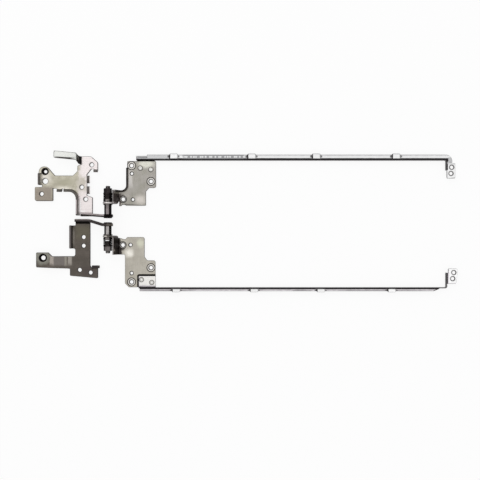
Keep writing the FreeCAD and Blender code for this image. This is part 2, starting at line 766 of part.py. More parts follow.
def arm_line():
    """Underside of a lid bracket's arm, from its high end down to the level plate."""
    slope = math.radians(ARM_SLOPE)
    rise = AXIS_HEIGHT + ARM_RISE - LID_FLOOR
    crest = (ARM_FOOT - rise / math.tan(slope), AXIS_HEIGHT + ARM_RISE)
    return [crest, (ARM_FOOT, LID_FLOOR), (RAIL_END, LID_FLOOR)]


def ear():
    """Ear round the shaft and the quarter bend that joins it to the sloping arm."""
    crest, foot = [flat(p) for p in arm_line()[:2]]
    run = (foot - crest).normalize()
    normal = FreeCAD.Vector(-run.y, run.x, 0)
    inset = normal * (LID_SHEET - LID_TURN)
    high = crest + inset
    low = foot + inset - run * LID_TURN
    web = side([
        (high.x, high.y),
        (low.x, low.y),
        (low.x - KNUCKLE_RADIUS / 2, low.y - CORNER, CORNER),
        (0, AXIS_HEIGHT - KNUCKLE_RADIUS),
        (0, AXIS_HEIGHT + KNUCKLE_RADIUS),
    ], EAR_AT, EAR_AT + LID_SHEET)
    disc = round_bar(2 * KNUCKLE_RADIUS, EAR_AT, EAR_AT + LID_SHEET)
    section = outline([
        (0, 0),
        (LID_TURN, 0, LID_TURN),
        (LID_TURN, LID_TURN),
        (LID_BEND, LID_TURN),
        (LID_BEND, LID_SHEET, LID_BEND),
        (0, LID_SHEET),
    ])
    top = crest + normal * LID_SHEET
    start = FreeCAD.Vector(top.x, EAR_AT + LID_TURN, top.y)
    slide = FreeCAD.Vector(low.x - high.x, 0, low.y - high.y)
    down = FreeCAD.Vector(-normal.x, 0, -normal.y)
    turn = FreeCAD.Rotation(-ALONG, down, down.cross(ALONG), "XYZ")
    section.Placement = FreeCAD.Placement(start, turn)
    return joined([disc, web, section.extrude(slide)])


def lid_bracket(shape, extras, seats, arm_seat, pilots, eyelet_holes):
    """Lid bracket: sloping arm and level plate cut to a plan, with its ear, seats and holes."""
    sheet = side(strip(arm_line(), LID_SHEET, LID_TURN), 0, 2 * TALL)
    pieces = [sheet.common(plan(shape, 0, TALL)), ear()] + extras
    cutters = [round_bar(STEM_DIAMETER + 2 * BORE_CLEARANCE, EAR_AT, EAR_AT + LID_SHEET)]
    rings = [(centre, SEAT_DIAMETER) for centre in seats] + [(arm_seat, ARM_SEAT_DIAMETER)]
    for centre, ring in rings:
        cutters.append(drill(centre, SEAT_HOLE))
        spot = FreeCAD.Vector(centre[0], centre[1], LID_TOP - SEAT_DEPTH)
        cutters.append(Part.makeCylinder(ring / 2, LID_SHEET, spot))
    for centre in pilots:
        cutters.append(drill(centre, PILOT_HOLE))
    return joined(pieces).cut(cutters + eyelet_holes)


def out(points):
    """Plan points measured out from the ear, moved to the hinge frame."""
    return [(p[0], p[1] + EAR_AT) + tuple(p[2:]) for p in points]


def left_lid_bracket():
    """Left lid bracket with a stiffening lip along its near edge and arm."""
    shape = out([
        (0, LID_TURN),
        (EAR_REACH, LID_TURN),
        (EAR_REACH, LEFT_NIB_LOW),
        (LEFT_NIB_FAR, LEFT_NIB_LOW),
        (LEFT_LID_RELIEF_FROM, LEFT_LID_RELIEF),
        (LEFT_LID_RELIEF_TO, LEFT_LID_RELIEF),
        (LEFT_LID_RELIEF_TO + LEFT_LID_RELIEF - LEFT_LID_LOW, LEFT_LID_LOW, CORNER),
        (LEFT_LID_WAIST, LEFT_LID_LOW, CORNER),
        (LEFT_LID_WAIST, LEFT_LID_WAIST_TOP, CORNER),
        (LEFT_LID_STEP, LEFT_LID_STEP_TOP, CORNER),
        (LEFT_LID_FAR, LEFT_LID_STEP_TOP, ROUND_CORNER),
        (LEFT_LID_FAR, LEFT_LID_TOP, CORNER),
        (LEFT_LID_NEAR, LEFT_LID_TOP, CORNER),
        (LEFT_LID_NEAR, LIP_TOP),
        (LIP_FACE, LIP_TOP),
        (LIP_FACE, LEFT_ARM_EDGE, LIP_ROUND),
        (0, LEFT_ARM_EDGE),
    ])
    inner = LIP_FACE + LID_SHEET
    band = out([
        (LIP_FACE, LIP_TOP),
        (LIP_FACE, LEFT_ARM_EDGE, LIP_ROUND),
        (0, LEFT_ARM_EDGE),
        (0, LEFT_ARM_EDGE - LID_SHEET),
        (inner, LEFT_ARM_EDGE - LID_SHEET, LIP_ROUND + LID_SHEET),
        (inner, LIP_TOP),
    ])
    rise = side(strip(arm_line(), LIP_HEIGHT, LID_TURN), 0, 2 * TALL)
    lip = rise.common(plan(band, 0, TALL))
    arm_seat, = out([LEFT_ARM_SEAT])
    holes = [drill(centre, EYELET_BODY + 2 * FACE_CLEARANCE) for centre in out(LEFT_EYELETS)]
    return lid_bracket(shape, [lip], out(LEFT_SEATS), arm_seat, out(LEFT_PILOTS), holes)


def right_lid_bracket():
    """Right lid bracket with one corner half-sheared down for the rail's tab."""
    shape = out([
        (0, LID_TURN),
        (EAR_REACH, LID_TURN),
        (RIGHT_LID_NEAR, RIGHT_LID_ARM_LOW, CORNER),
        (RIGHT_LID_NEAR + RIGHT_LID_ARM_LOW - RIGHT_LID_LOW, RIGHT_LID_LOW, CORNER),
        (RIGHT_LID_WAIST, RIGHT_LID_LOW, ROUND_CORNER),
        (RIGHT_LID_WAIST, RIGHT_LID_WAIST_TOP, CORNER),
        (RIGHT_LID_STEP, RIGHT_LID_STEP_TOP, CORNER),
        (RIGHT_LID_FAR, RIGHT_LID_STEP_TOP, ROUND_CORNER),
        (RIGHT_LID_FAR, RECESS_LOW),
        (RECESS_NEAR, RECESS_LOW, ROUND_CORNER),
        (RECESS_NEAR, RIGHT_LID_TOP),
        (RIGHT_LID_NEAR + RIGHT_LID_CHAMFER, RIGHT_LID_TOP),
        (RIGHT_LID_NEAR, RIGHT_LID_TOP - RIGHT_LID_CHAMFER),
        (RIGHT_LID_NEAR, RIGHT_ARM_EDGE, CORNER),
        (0, RIGHT_ARM_EDGE),
    ])
    corner = plan(out([
        (RECESS_NEAR - RECESS_SHEAR, RECESS_LOW - RECESS_SHEAR, ROUND_CORNER),
        (RIGHT_LID_FAR, RECESS_LOW - RECESS_SHEAR),
        (RIGHT_LID_FAR, RIGHT_LID_TOP, CORNER),
        (RECESS_NEAR - RECESS_SHEAR, RIGHT_LID_TOP),
    ]), LID_FLOOR - RAIL_SHEET, LID_TOP - RAIL_SHEET)
    arm_seat, = out([RIGHT_ARM_SEAT])
    holes = [eyelet_seat(centre) for centre in out(RIGHT_EYELETS)]
    return lid_bracket(shape, [corner], out(RIGHT_SEATS), arm_seat, out(RIGHT_PILOTS), holes)


def eyelets(centres):
    """Hollow eyelets with a rolled top and a flush foot."""
    foot = LID_FLOOR - RAIL_SHEET
    shapes = []
    for centre in out(centres):
        place = FreeCAD.Vector(centre[0], centre[1], foot)
        body = Part.makeCylinder(EYELET_BODY / 2, LID_TOP - foot, place)
        base = Part.makeCylinder(EYELET_ROLL / 2, EYELET_ROLL_THICK, place)
        cap = Part.makeCylinder(EYELET_ROLL / 2, EYELET_ROLL_THICK, place + UP * (LID_TOP - foot))
        rim = [e for e in cap.Edges if len(e.Vertexes) == 1 and e.Vertexes[0].Z > LID_TOP + 1e-6]
        cap = cap.makeFillet(EYELET_ROLL_ROUND, rim)
        shapes.append(joined([body, base, cap]).cut(drill(centre, EYELET_BORE)))
    return Part.makeCompound(shapes)


def eyelet_seat(centre):
    """Cutter for an eyelet's body and its flush foot."""
    foot = LID_FLOOR - RAIL_SHEET
    place = FreeCAD.Vector(centre[0], centre[1], foot - TALL)
    deep = TALL + EYELET_ROLL_THICK + FACE_CLEARANCE
    pocket = Part.makeCylinder(EYELET_ROLL / 2 + FACE_CLEARANCE, deep, place)
    return pocket.fuse(drill(centre, EYELET_BODY + 2 * FACE_CLEARANCE))


def rail_section(width):
    """Section of a rail: upright wall, bend and level flange, as (outward, up)."""
    return [
        (0, 0),
        (RAIL_SHEET, 0),
        (RAIL_SHEET, RAIL_HEIGHT - RAIL_SHEET, RAIL_BEND),
        (width, RAIL_HEIGHT - RAIL_SHEET),
        (width, RAIL_HEIGHT),
        (0, RAIL_HEIGHT, RAIL_TURN),
    ]


def wall_section(height):
    """Section of a rail's bare wall."""
    return [(0, 0), (RAIL_SHEET, 0), (RAIL_SHEET, height), (0, height)]


def rail_bumps(places, line, width):
    """Pressed bumps along the flange, tapered at both ends."""
    top = RAIL_HEIGHT + BUMP_RISE
    low = RAIL_HEIGHT - RAIL_SHEET
    bumps = []
    for place in places:
        a = place - BUMP_LENGTH / 2
        b = place + BUMP_LENGTH / 2
        reach = line + width + BUMP_REACH
        shape = plan([
            (a, line + RAIL_TURN),
            (b, line + RAIL_TURN),
            (b, line + width),
            (b - BUMP_REACH, reach, CORNER),
            (a + BUMP_REACH, reach, CORNER),
            (a, line + width),
        ], low, top)
        rise = side([
            (a, low),
            (b, low),
            (b, RAIL_HEIGHT),
            (b - BUMP_REACH, top, CORNER),
            (a + BUMP_REACH, top, CORNER),
            (a, RAIL_HEIGHT),
        ], line, reach)
        bumps.append(shape.common(rise))
    return bumps


def rail_tab(near, far, low, line, level):
    """Tab bent inwards at the foot of a rail, with the bend that joins it to the wall."""
    height = RAIL_HEIGHT - RAIL_TURN
    section = [
        (RAIL_SHEET, level, RAIL_TURN),
        (RAIL_SHEET, height),
        (0, height),
        (0, level + RAIL_SHEET, RAIL_BEND),
        (low - line, level + RAIL_SHEET),
        (low - line, level),
    ]
    return sweep(section, [(near, line), (far, line)], 1)


def ear_plate(points):
    """Level ear at the far end of a rail."""
    return plan(points, RAIL_HEIGHT - RAIL_SHEET, RAIL_HEIGHT)


def left_screen_rail():
    """Left screen rail: riveted tab, long flanged wall, turned corner and screw ear."""
    line = EAR_AT + LEFT_LID_TOP + RAIL_CLEARANCE
    root_end = LEFT_RAIL_START + LEFT_ROOT_LENGTH
    slit = EAR_AT + LEFT_EAR_SLIT
    wall_end = EAR_AT + LEFT_EAR_WALL
    low = EAR_AT + LEFT_EAR_LOW
    corner = (RAIL_END, line, RAIL_CORNER)
    far = RAIL_END + LEFT_EAR_WIDTH
    pieces = [
        sweep(rail_section(LEFT_ROOT_FLANGE), [(LEFT_RAIL_START, line), (root_end, line)], 1),
        sweep(rail_section(LEFT_FLANGE_WIDTH), [(root_end, line), corner, (RAIL_END, slit)], 1),
        sweep(wall_section(RAIL_HEIGHT - RAIL_TURN), [(RAIL_END, slit), (RAIL_END, slit - LEFT_SLIT)], 1),
        sweep(rail_section(LEFT_EAR_WIDTH), [(RAIL_END, slit - LEFT_SLIT), (RAIL_END, wall_end)], 1),
        ear_plate([
            (RAIL_END, wall_end),
            (RAIL_END, low, CORNER),
            (far, low, CORNER),
            (far, wall_end),
        ]),
        rail_tab(LEFT_RAIL_START, LEFT_TAB_FAR, EAR_AT + LEFT_TAB_LOW, line, 0),
    ]
    body = joined(pieces + rail_bumps(LEFT_BUMPS, line, LEFT_FLANGE_WIDTH))
    mid = line + (LEFT_ROOT_FLANGE + RAIL_TURN) / 2
    groove = plan([
        (LEFT_RAIL_START, mid - ROOT_GROOVE_WIDTH / 2),
        (root_end, mid - ROOT_GROOVE_WIDTH / 2),
        (root_end, mid + ROOT_GROOVE_WIDTH / 2),
        (LEFT_RAIL_START, mid + ROOT_GROOVE_WIDTH / 2),
    ], RAIL_HEIGHT - ROOT_GROOVE_DEPTH, TALL)
    cutters = [groove] + [drill((RAIL_END + a, b), EAR_HOLE) for a, b in out(LEFT_EAR_HOLES)]
    cutters += [eyelet_seat(centre) for centre in out(LEFT_EYELETS)]
    return body.cut(cutters)


def right_screen_rail():
    """Right screen rail: tab laid in the bracket's corner, flanged wall, bare end and screw ear."""
    line = EAR_AT + RIGHT_LID_TOP + FACE_CLEARANCE
    level = LID_TOP - RAIL_SHEET
    flange_end = RIGHT_FLANGE_END - RIGHT_FLANGE_TAPER
    ear_top = EAR_AT + RIGHT_EAR_TOP
    wall_end = EAR_AT + RIGHT_EAR_WALL
    low = EAR_AT + RIGHT_EAR_LOW
    corner = (RAIL_END, line, RAIL_CORNER)
    far = RAIL_END + RIGHT_EAR_WIDTH
    taper = plan([
        (flange_end, line + RAIL_TURN),
        (RIGHT_FLANGE_END, line + RAIL_TURN),
        (flange_end, line + RIGHT_FLANGE_WIDTH),
    ], RAIL_HEIGHT - RAIL_SHEET, RAIL_HEIGHT)
    foot = plan([
        (RIGHT_RAIL_START - CORNER, line - CORNER),
        (RIGHT_TAB_FAR, line - CORNER),
        (RIGHT_TAB_FAR, line + RAIL_TURN),
        (RIGHT_RAIL_START - CORNER, line + RAIL_TURN),
    ], 0, level + RAIL_TURN)
    long_wall = sweep(
        rail_section(RIGHT_FLANGE_WIDTH), [(RIGHT_RAIL_START, line), (flange_end, line)], 1
    ).cut(foot)
    pieces = [
        long_wall,
        sweep(rail_section(RAIL_TURN), [(flange_end, line), (RIGHT_FLANGE_END, line)], 1),
        taper,
        sweep(wall_section(RAIL_HEIGHT - RAIL_SHEET),
              [(RIGHT_FLANGE_END, line), corner, (RAIL_END, ear_top)], 1),
        sweep(rail_section(RAIL_TURN), [(RAIL_END, ear_top), (RAIL_END, wall_end)], 1),
        ear_plate([
            (RAIL_END + RAIL_TURN, ear_top),
            (RAIL_END + RAIL_TURN, low, CORNER),
            (far, low, ROUND_CORNER),
            (far - RIGHT_EAR_SLANT, ear_top, CORNER),
        ]),
        rail_tab(RIGHT_TAB_NEAR, RIGHT_TAB_FAR, EAR_AT + RIGHT_TAB_LOW, line, level),
    ]
    body = joined(pieces + rail_bumps(RIGHT_BUMPS, line, RIGHT_FLANGE_WIDTH))
    cutters = [drill((RAIL_END + a, b), EAR_HOLE) for a, b in out(RIGHT_EAR_HOLES)]
    cutters += [drill(centre, EYELET_BODY + 2 * FACE_CLEARANCE) for centre in out(RIGHT_EYELETS)]
    return body.cut(cutters)


def hinge_pieces(base, flange_at, lid, rail, rivets):
    """Named pieces of one hinge in its own frame."""
    return {
        "base_bracket": base,
        "hinge_shaft": hinge_shaft(flange_at),
        "thrust_washer": keyed_washer(THRUST_AT, THRUST_THICK),
        "inner_friction_washer": round_washer(INNER_FRICTION_AT, FRICTION_THICK),
        "outer_friction_washer": round_washer(OUTER_FRICTION_AT, FRICTION_THICK),
        "keyed_washer": keyed_washer(KEYED_AT, KEYED_THICK),
        "disc_springs": disc_springs(),
        "pressure_washer": keyed_washer(PRESSURE_AT, PRESSURE_THICK),
        "lock_nut": lock_nut(),
        "lid_bracket": lid,
        "screen_rail": rail,
        "rail_eyelets": rivets,
    }


def build():
    """All pieces of both hinges, with the origin under the middle of the pair."""
    shift = ALONG * (PAIR_GAP / 2 + BASE_SHEET)
    left_shift = shift - ALONG * LEFT_FLANGE_AT
    right_shift = shift - ALONG * RIGHT_FLANGE_AT
    nodes = {}
    left = hinge_pieces(
        left_base_bracket(), LEFT_FLANGE_AT,
        left_lid_bracket(), left_screen_rail(), eyelets(LEFT_EYELETS),
    )
    for name, shape in left.items():
        nodes["left_" + name] = shape.translated(left_shift)
    right = hinge_pieces(
        right_base_bracket(), RIGHT_FLANGE_AT,
        right_lid_bracket(), right_screen_rail(), eyelets(RIGHT_EYELETS),
    )
    for name, shape in right.items():
        nodes["right_" + name] = shape.mirror(FreeCAD.Vector(0, 0, 0), ALONG).translated(-right_shift)
    box = Part.makeCompound(list(nodes.values())).optimalBoundingBox(False)
    centre = FreeCAD.Vector(-(box.XMin + box.XMax) / 2, -(box.YMin + box.YMax) / 2, -box.ZMin)
    return {name: shape.translated(centre) for name, shape in nodes.items()}, centre


def main():
    """Writes one STEP file for each piece."""
    os.makedirs("parts", exist_ok=True)
    nodes, _ = build()
    for name, shape in nodes.items():
        shape.exportStep("parts/" + name + ".step")


if __name__ == "__main__":
    main()
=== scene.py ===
"""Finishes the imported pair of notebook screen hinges.

The sheets get rounded edges and their metal finishes, the shafts get their threads, and
soft studio light and a camera straight above show the pair lying open.
"""

from __future__ import annotations

import json
import logging
import math
from collections.abc import Callable, Iterator, Mapping, Sequence
from contextlib import contextmanager
from dataclasses import dataclass, replace
from enum import Enum
from typing import Any, Union

import bpy
from mathutils import Matrix, Vector
from mathutils.bvhtree import BVHTree

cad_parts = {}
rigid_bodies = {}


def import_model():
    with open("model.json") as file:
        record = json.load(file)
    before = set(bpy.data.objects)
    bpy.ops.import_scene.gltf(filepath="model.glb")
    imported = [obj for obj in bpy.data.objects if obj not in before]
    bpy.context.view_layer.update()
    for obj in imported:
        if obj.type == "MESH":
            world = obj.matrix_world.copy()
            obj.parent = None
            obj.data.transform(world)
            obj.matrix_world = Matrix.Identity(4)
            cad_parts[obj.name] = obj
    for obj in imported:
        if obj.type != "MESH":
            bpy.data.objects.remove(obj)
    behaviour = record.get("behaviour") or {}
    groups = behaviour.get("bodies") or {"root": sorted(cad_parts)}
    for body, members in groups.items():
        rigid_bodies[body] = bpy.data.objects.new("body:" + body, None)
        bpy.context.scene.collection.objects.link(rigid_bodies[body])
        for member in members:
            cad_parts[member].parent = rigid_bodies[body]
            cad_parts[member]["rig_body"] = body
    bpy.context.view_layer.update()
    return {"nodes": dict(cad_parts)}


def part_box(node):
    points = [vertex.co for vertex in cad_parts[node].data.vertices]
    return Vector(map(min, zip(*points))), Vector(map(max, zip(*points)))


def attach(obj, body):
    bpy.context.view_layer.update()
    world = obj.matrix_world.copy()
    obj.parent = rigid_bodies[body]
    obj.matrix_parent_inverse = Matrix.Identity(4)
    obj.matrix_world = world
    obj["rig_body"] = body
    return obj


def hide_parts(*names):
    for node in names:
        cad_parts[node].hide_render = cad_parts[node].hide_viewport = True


LOG = logging.getLogger("hinges")

# A millimetre in metres, and a unit so long that a mark ignores the height
MM = 0.001
FAR = 1.0e6

# In millimetres: the reach within which corners merge and slivers go, and how far under a
# face its depth of metal is measured from
MERGE = 0.001
SLIVER = 0.004
SKIN = 0.002

# In degrees: faces as level as the first merge, edges sharper than the second are rounded,
# and faces closer than the third shade as one
FLAT_ANGLE = 0.4
SHARP_ANGLE = 28.0
SMOOTH_ANGLE = 40.0

# Rounded edges: their steps, how far a corner may stray as a share of their width, and how
# much large faces lead the shading
ROUND_STEPS = 3
STRAY_SHARE = 0.36
FACE_WEIGHT = 60

# The upward part of a face's normal on a top, on a floor and on a level rim
TOP = 0.5
FLOOR = 0.9
LEVEL = 0.95

# What a search on a surface gives: the place found and how far away it is
PLACE = 0
GAP = 3

# The material slot that stands for rounded faces until they are marked
RIM_SLOT = 1

# A colour Mix node's sockets: the share and two colours, and the result
MIX_INPUTS = (0, 6, 7)
MIX_OUTPUT = 2

Colour = tuple[float, float, float, float]
Point = tuple[float, float]
Plane = tuple[Vector, Vector]
Value = Union["Wire", float, Sequence[float]]


def tone(red: float, green: float, blue: float) -> Colour:
    """Turns a colour in screen values into light values, by the standard screen curve.

    Args:
        red: Red from 0 to 255.
        green: Green from 0 to 255.
        blue: Blue from 0 to 255.

    Returns:
        The colour as a shader takes it.
    """
    shares = [value / 255 for value in (red, green, blue)]
    light = [s / 12.92 if s <= 0.04045 else ((s + 0.055) / 1.055) ** 2.4 for s in shares]
    return (light[0], light[1], light[2], 1.0)


BLACK = tone(20, 17, 17)
# SHADE_BROWN is the dark brown of the painted shade round holes, seats and bumps and along edges
SHADE_BROWN = tone(44, 39, 38)
WHITE = tone(250, 250, 250)


class Wire:
    """A node's output, which adds Math nodes where it is used in an expression."""

    def __init__(self, graph: Graph, node: bpy.types.Node, output: int | str) -> None:
        """Keeps one output of a node.

        Args:
            graph: The graph that holds the node.
            node: The node.
            output: The output that carries the value; a last node has none.
        """
        self.graph = graph
        self.node = node
        self.socket = node.outputs[output] if len(node.outputs) else None

    def out(self, output: int | str) -> Wire:
        """Gives another output of the same node."""
        return Wire(self.graph, self.node, output)

    def math(self, operation: str, first: Value, second: Value = 0.0) -> Wire:
        """Adds one Math node.

        Args:
            operation: The node's operation.
            first: Its first value.
            second: Its second value.

        Returns:
            The node's result.
        """
        return self.graph.node("ShaderNodeMath", {"operation": operation}, {0: first, 1: second})

    def __add__(self, other: Value) -> Wire:
        """Adds a value."""
        return self.math("ADD", self, other)

    def __radd__(self, other: Value) -> Wire:
        """Adds to a value."""
        return self.math("ADD", other, self)

    def __sub__(self, other: Value) -> Wire:
        """Takes a value away."""
        return self.math("SUBTRACT", self, other)

    def __rsub__(self, other: Value) -> Wire:
        """Takes this away from a value."""
        return self.math("SUBTRACT", other, self)

    def __mul__(self, other: Value) -> Wire:
        """Multiplies by a value."""
        return self.math("MULTIPLY", self, other)

    def __rmul__(self, other: Value) -> Wire:
        """Multiplies a value."""
        return self.math("MULTIPLY", other, self)

    def __truediv__(self, other: Value) -> Wire:
        """Divides by a value."""
        return self.math("DIVIDE", self, other)

    def __rtruediv__(self, other: Value) -> Wire:
        """Divides a value."""
        return self.math("DIVIDE", other, self)

    def __abs__(self) -> Wire:
        """Drops the sign."""
        return self.math("ABSOLUTE", self)

    def largest(self, other: Value) -> Wire:
        """Gives the larger of two values."""
        return self.math("MAXIMUM", self, other)


class Graph:
    """The nodes of one material or of the world."""

    def __init__(self, tree: bpy.types.NodeTree) -> None:
        """Takes over a tree and empties it."""
        self.tree = tree
        tree.nodes.clear()

    @classmethod
    def of_material(cls, name: str) -> tuple[Graph, bpy.types.Material]:
        """Starts a material.

        Args:
            name: The material's name.

        Returns:
            The empty graph and its material.
        """
        material = bpy.data.materials.new(name)
        material.use_nodes = True
        return cls(material.node_tree), material

    def node(
        self,
        kind: str,
        settings: Mapping[str, Any] | None = None,
        inputs: Mapping[int | str, Value] | None = None,
        output: int | str = 0,
    ) -> Wire:
        """Adds one node.

        Args:
            kind: The node's type.
            settings: Its settings, set first; stops are a colour ramp's places and colours.
            inputs: Values or links of its sockets.
            output: The output to give back.

        Returns:
            That output.
        """
        made = self.tree.nodes.new(kind)
        for key, value in (settings or {}).items():
            if key == "stops":
                ramp = made.color_ramp.elements
                while len(ramp) < len(value):
                    ramp.new(1.0)
                for stop, (place, colour) in zip(ramp, value):
                    stop.position = place
                    stop.color = colour
            else:
                setattr(made, key, value)
        for key, value in (inputs or {}).items():
            if isinstance(value, Wire):
                self.tree.links.new(value.socket, made.inputs[key])
            else:
                made.inputs[key].default_value = value
        return Wire(self, made, output)

    def place(self) -> Wire:
        """Gives the place on the piece.

        Returns:
            The place in millimetres.
        """
        metres = self.node("ShaderNodeTexCoord", output="Object")
        inputs = {0: metres, "Scale": 1 / MM}
        return self.node("ShaderNodeVectorMath", {"operation": "SCALE"}, inputs)

    def length(self, vector: Wire) -> Wire:
        """Gives a vector's length."""
        return self.node("ShaderNodeVectorMath", {"operation": "LENGTH"}, {0: vector}, "Value")

    def mapped(self, centre: Point, turn: float, scale: Sequence[float]) -> Wire:
        """Gives the place measured from a centre, turned and in given units.

        Args:
            centre: The centre in millimetres.
            turn: The turn in degrees.
            scale: The unit along each direction.

        Returns:
            The mapped place.
        """
        return self.node(
            "ShaderNodeMapping",
            {"vector_type": "TEXTURE"},
            {
                "Vector": self.place(),
                "Location": (*centre, 0.0),
                "Rotation": (0.0, 0.0, math.radians(turn)),
                "Scale": scale,
            },
        )

    def noise(self, size: Sequence[float], detail: float = 3.0, turn: float = 0.0) -> Wire:
        """Gives soft noise from 0 to 1.

        Args:
            size: The width of its blotches along each direction in millimetres.
            detail: How many finer layers it has.
            turn: Its turn in degrees.

        Returns:
            The noise value.
        """
        inputs = {"Vector": self.mapped((0.0, 0.0), turn, size), "Scale": 1.0, "Detail": detail}
        return self.node("ShaderNodeTexNoise", {}, inputs)

    def ease(self, value: Value, start: float, end: float) -> Wire:
        """Gives a smooth step from 0 at the start to 1 at the end."""
        limits = {"Value": value, "From Min": start, "From Max": end}
        return self.node("ShaderNodeMapRange", {"interpolation_type": "SMOOTHSTEP"}, limits)

    def mix(self, share: Value, first: Value, second: Value) -> Wire:
        """Mixes two colours, from the first at 0 to the second at 1."""
        inputs = dict(zip(MIX_INPUTS, (share, first, second)))
        return self.node("ShaderNodeMix", {"data_type": "RGBA"}, inputs, MIX_OUTPUT)

    def faces(self, name: str) -> Wire:
        """Reads a value that the piece's faces carry."""
        return self.node("ShaderNodeAttribute", {"attribute_name": name}, {}, "Fac")


# The wear of the finishes: its noises' mean and widths in millimetres, the ends of their masks,
# the least cover on cut faces, on rounded edges and on painted highlights, and what they add to
# the roughness and the height
NOISE_MEAN = 0.5
RAGGED_WIDTH = 2.5
PIT_WIDTH = 0.55
FINE_WIDTH = 0.3
CLOUD_MASK = (0.32, 0.68)
GRAIN_MASK = (0.35, 0.85)
PIT_MASK = (0.66, 0.74)
CUT_COVER = 0.92
RIM_AND_HIGHLIGHT_COVER = 0.7
GRAIN_ROUGH = 0.16
PIT_ROUGH = 0.3
CUT_ROUGH = 0.12
GRAIN_HEIGHT = 0.6
FINE_HEIGHT = 0.5
BUMP_STRENGTH = 0.35
BUMP_DEPTH = 0.02 * MM


class MarkKind(Enum):
    """Shapes of the paler and darker places on a finish."""

    SPOT = "spot"
    RING = "ring"
    BAR = "bar"


@dataclass(frozen=True)
class Mark:
    """A paler or darker place on a sheet, in plan: mostly painted reflections and shade.

    Args:
        kind: Its shape.
        centre: Its centre in millimetres.
        size: Half its length and width, or a ring's radius and half its line width.
        colour: Its colour.
        strength: How much of the colour shows.
        soft: The share of its size over which it fades.
        turn: Its turn in degrees.
        ragged: How uneven its border is.
    """

    kind: MarkKind
    centre: Point
    size: Point
    colour: Colour
    strength: float = 1.0
    soft: float = 0.7
    turn: float = 0.0
    ragged: float = 0.35

    def mask(self, graph: Graph) -> Wire:
        """Builds the mark's mask.

        Args:
            graph: The finish's nodes.

        Returns:
            The strength inside the mark and 0 outside.
        """
        if self.kind is MarkKind.RING:
            local = graph.mapped(self.centre, 0.0, (1.0, 1.0, FAR))
            reach = abs(graph.length(local) - self.size[0]) / self.size[1]
        else:
            local = graph.mapped(self.centre, self.turn, (*self.size, FAR))
            if self.kind is MarkKind.SPOT:
                reach = graph.length(local)
            else:
                parts = graph.node("ShaderNodeSeparateXYZ", {}, {0: local})
                reach = abs(parts).largest(abs(parts.out("Y")))
        uneven = (graph.noise((RAGGED_WIDTH,) * 3) - NOISE_MEAN) * self.ragged
        return graph.ease(reach + uneven, 1.0, 1.0 - self.soft) * self.strength


@dataclass(frozen=True)
class MetalFinish:
    """A worn metal surface, with painted highlights and shade.

    Args:
        name: The material's name.
        main: The main colour.
        second: The colour of its clouds.
        rim: The colour of rounded edges, partly painted shade on the sheets.
        cut: The colour of sheared edges.
        stain: The colour of the painted shade on darkened faces.
        shine: The colour of painted highlights.
        rough: The roughness of clean faces.
        cloud: The width of the clouds in millimetres.
        grain: The length and width of the rolling grain in millimetres.
        grain_turn: The grain's turn in degrees.
        grain_share: How much the grain shows in the colour.
        metal: How metallic it is.
        marks: Paler and darker places, mostly painted reflections, highlights and shade.
        speck: How many small dark pits show.
    """

    name: str
    main: Colour
    second: Colour
    rim: Colour
    cut: Colour = BLACK
    stain: Colour = BLACK
    shine: Colour = WHITE
    rough: float = 0.36
    cloud: float = 6.0
    grain: Point = (9.0, 0.18)
    grain_turn: float = 0.0
    grain_share: float = 0.2
    metal: float = 1.0
    marks: tuple[Mark, ...] = ()
    speck: float = 0.25

    def material(self) -> bpy.types.Material:
        """Builds the finish's nodes.

        Returns:
            The material.
        """
        graph, material = Graph.of_material(self.name)
        cloud = graph.ease(graph.noise((self.cloud,) * 3, detail=4.0), *CLOUD_MASK)
        grain = graph.noise((*self.grain, self.grain[1]), detail=4.0, turn=self.grain_turn)
        pits = graph.ease(graph.noise((PIT_WIDTH,) * 3, detail=2.0), *PIT_MASK) * self.speck
        cut = graph.faces("cut")
        layers = [(mark.mask(graph), mark.colour) for mark in self.marks]
        layers += [
            (graph.ease(grain, *GRAIN_MASK) * self.grain_share, self.rim),
            (pits, self.cut),
            (cut * (CUT_COVER + (1 - CUT_COVER) * cloud), self.cut),
            (graph.faces("rim") * (RIM_AND_HIGHLIGHT_COVER + (1 - RIM_AND_HIGHLIGHT_COVER) * grain), self.rim),
            # Painted shade, then painted highlights, go over all the rest
            (graph.faces("stain"), self.stain),
            (graph.faces("shine") * (RIM_AND_HIGHLIGHT_COVER + (1 - RIM_AND_HIGHLIGHT_COVER) * cloud), self.shine),
        ]
        colour = graph.mix(cloud, self.main, self.second)
        for share, over in layers:
            colour = graph.mix(share, colour, over)
        uneven = (grain - NOISE_MEAN) * GRAIN_ROUGH
        rough = self.rough + uneven + pits * PIT_ROUGH + cut * CUT_ROUGH
        height = grain * GRAIN_HEIGHT + graph.noise((FINE_WIDTH,) * 3) * FINE_HEIGHT - pits
        bump = graph.node(
            "ShaderNodeBump",
            {},
            {"Strength": BUMP_STRENGTH, "Distance": BUMP_DEPTH, "Height": height},
        )
        shader = graph.node(
            "ShaderNodeBsdfPrincipled",
            {},
            {"Base Color": colour, "Roughness": rough, "Metallic": self.metal, "Normal": bump},
        )
        graph.node("ShaderNodeOutputMaterial", {}, {"Surface": shader})
        return material


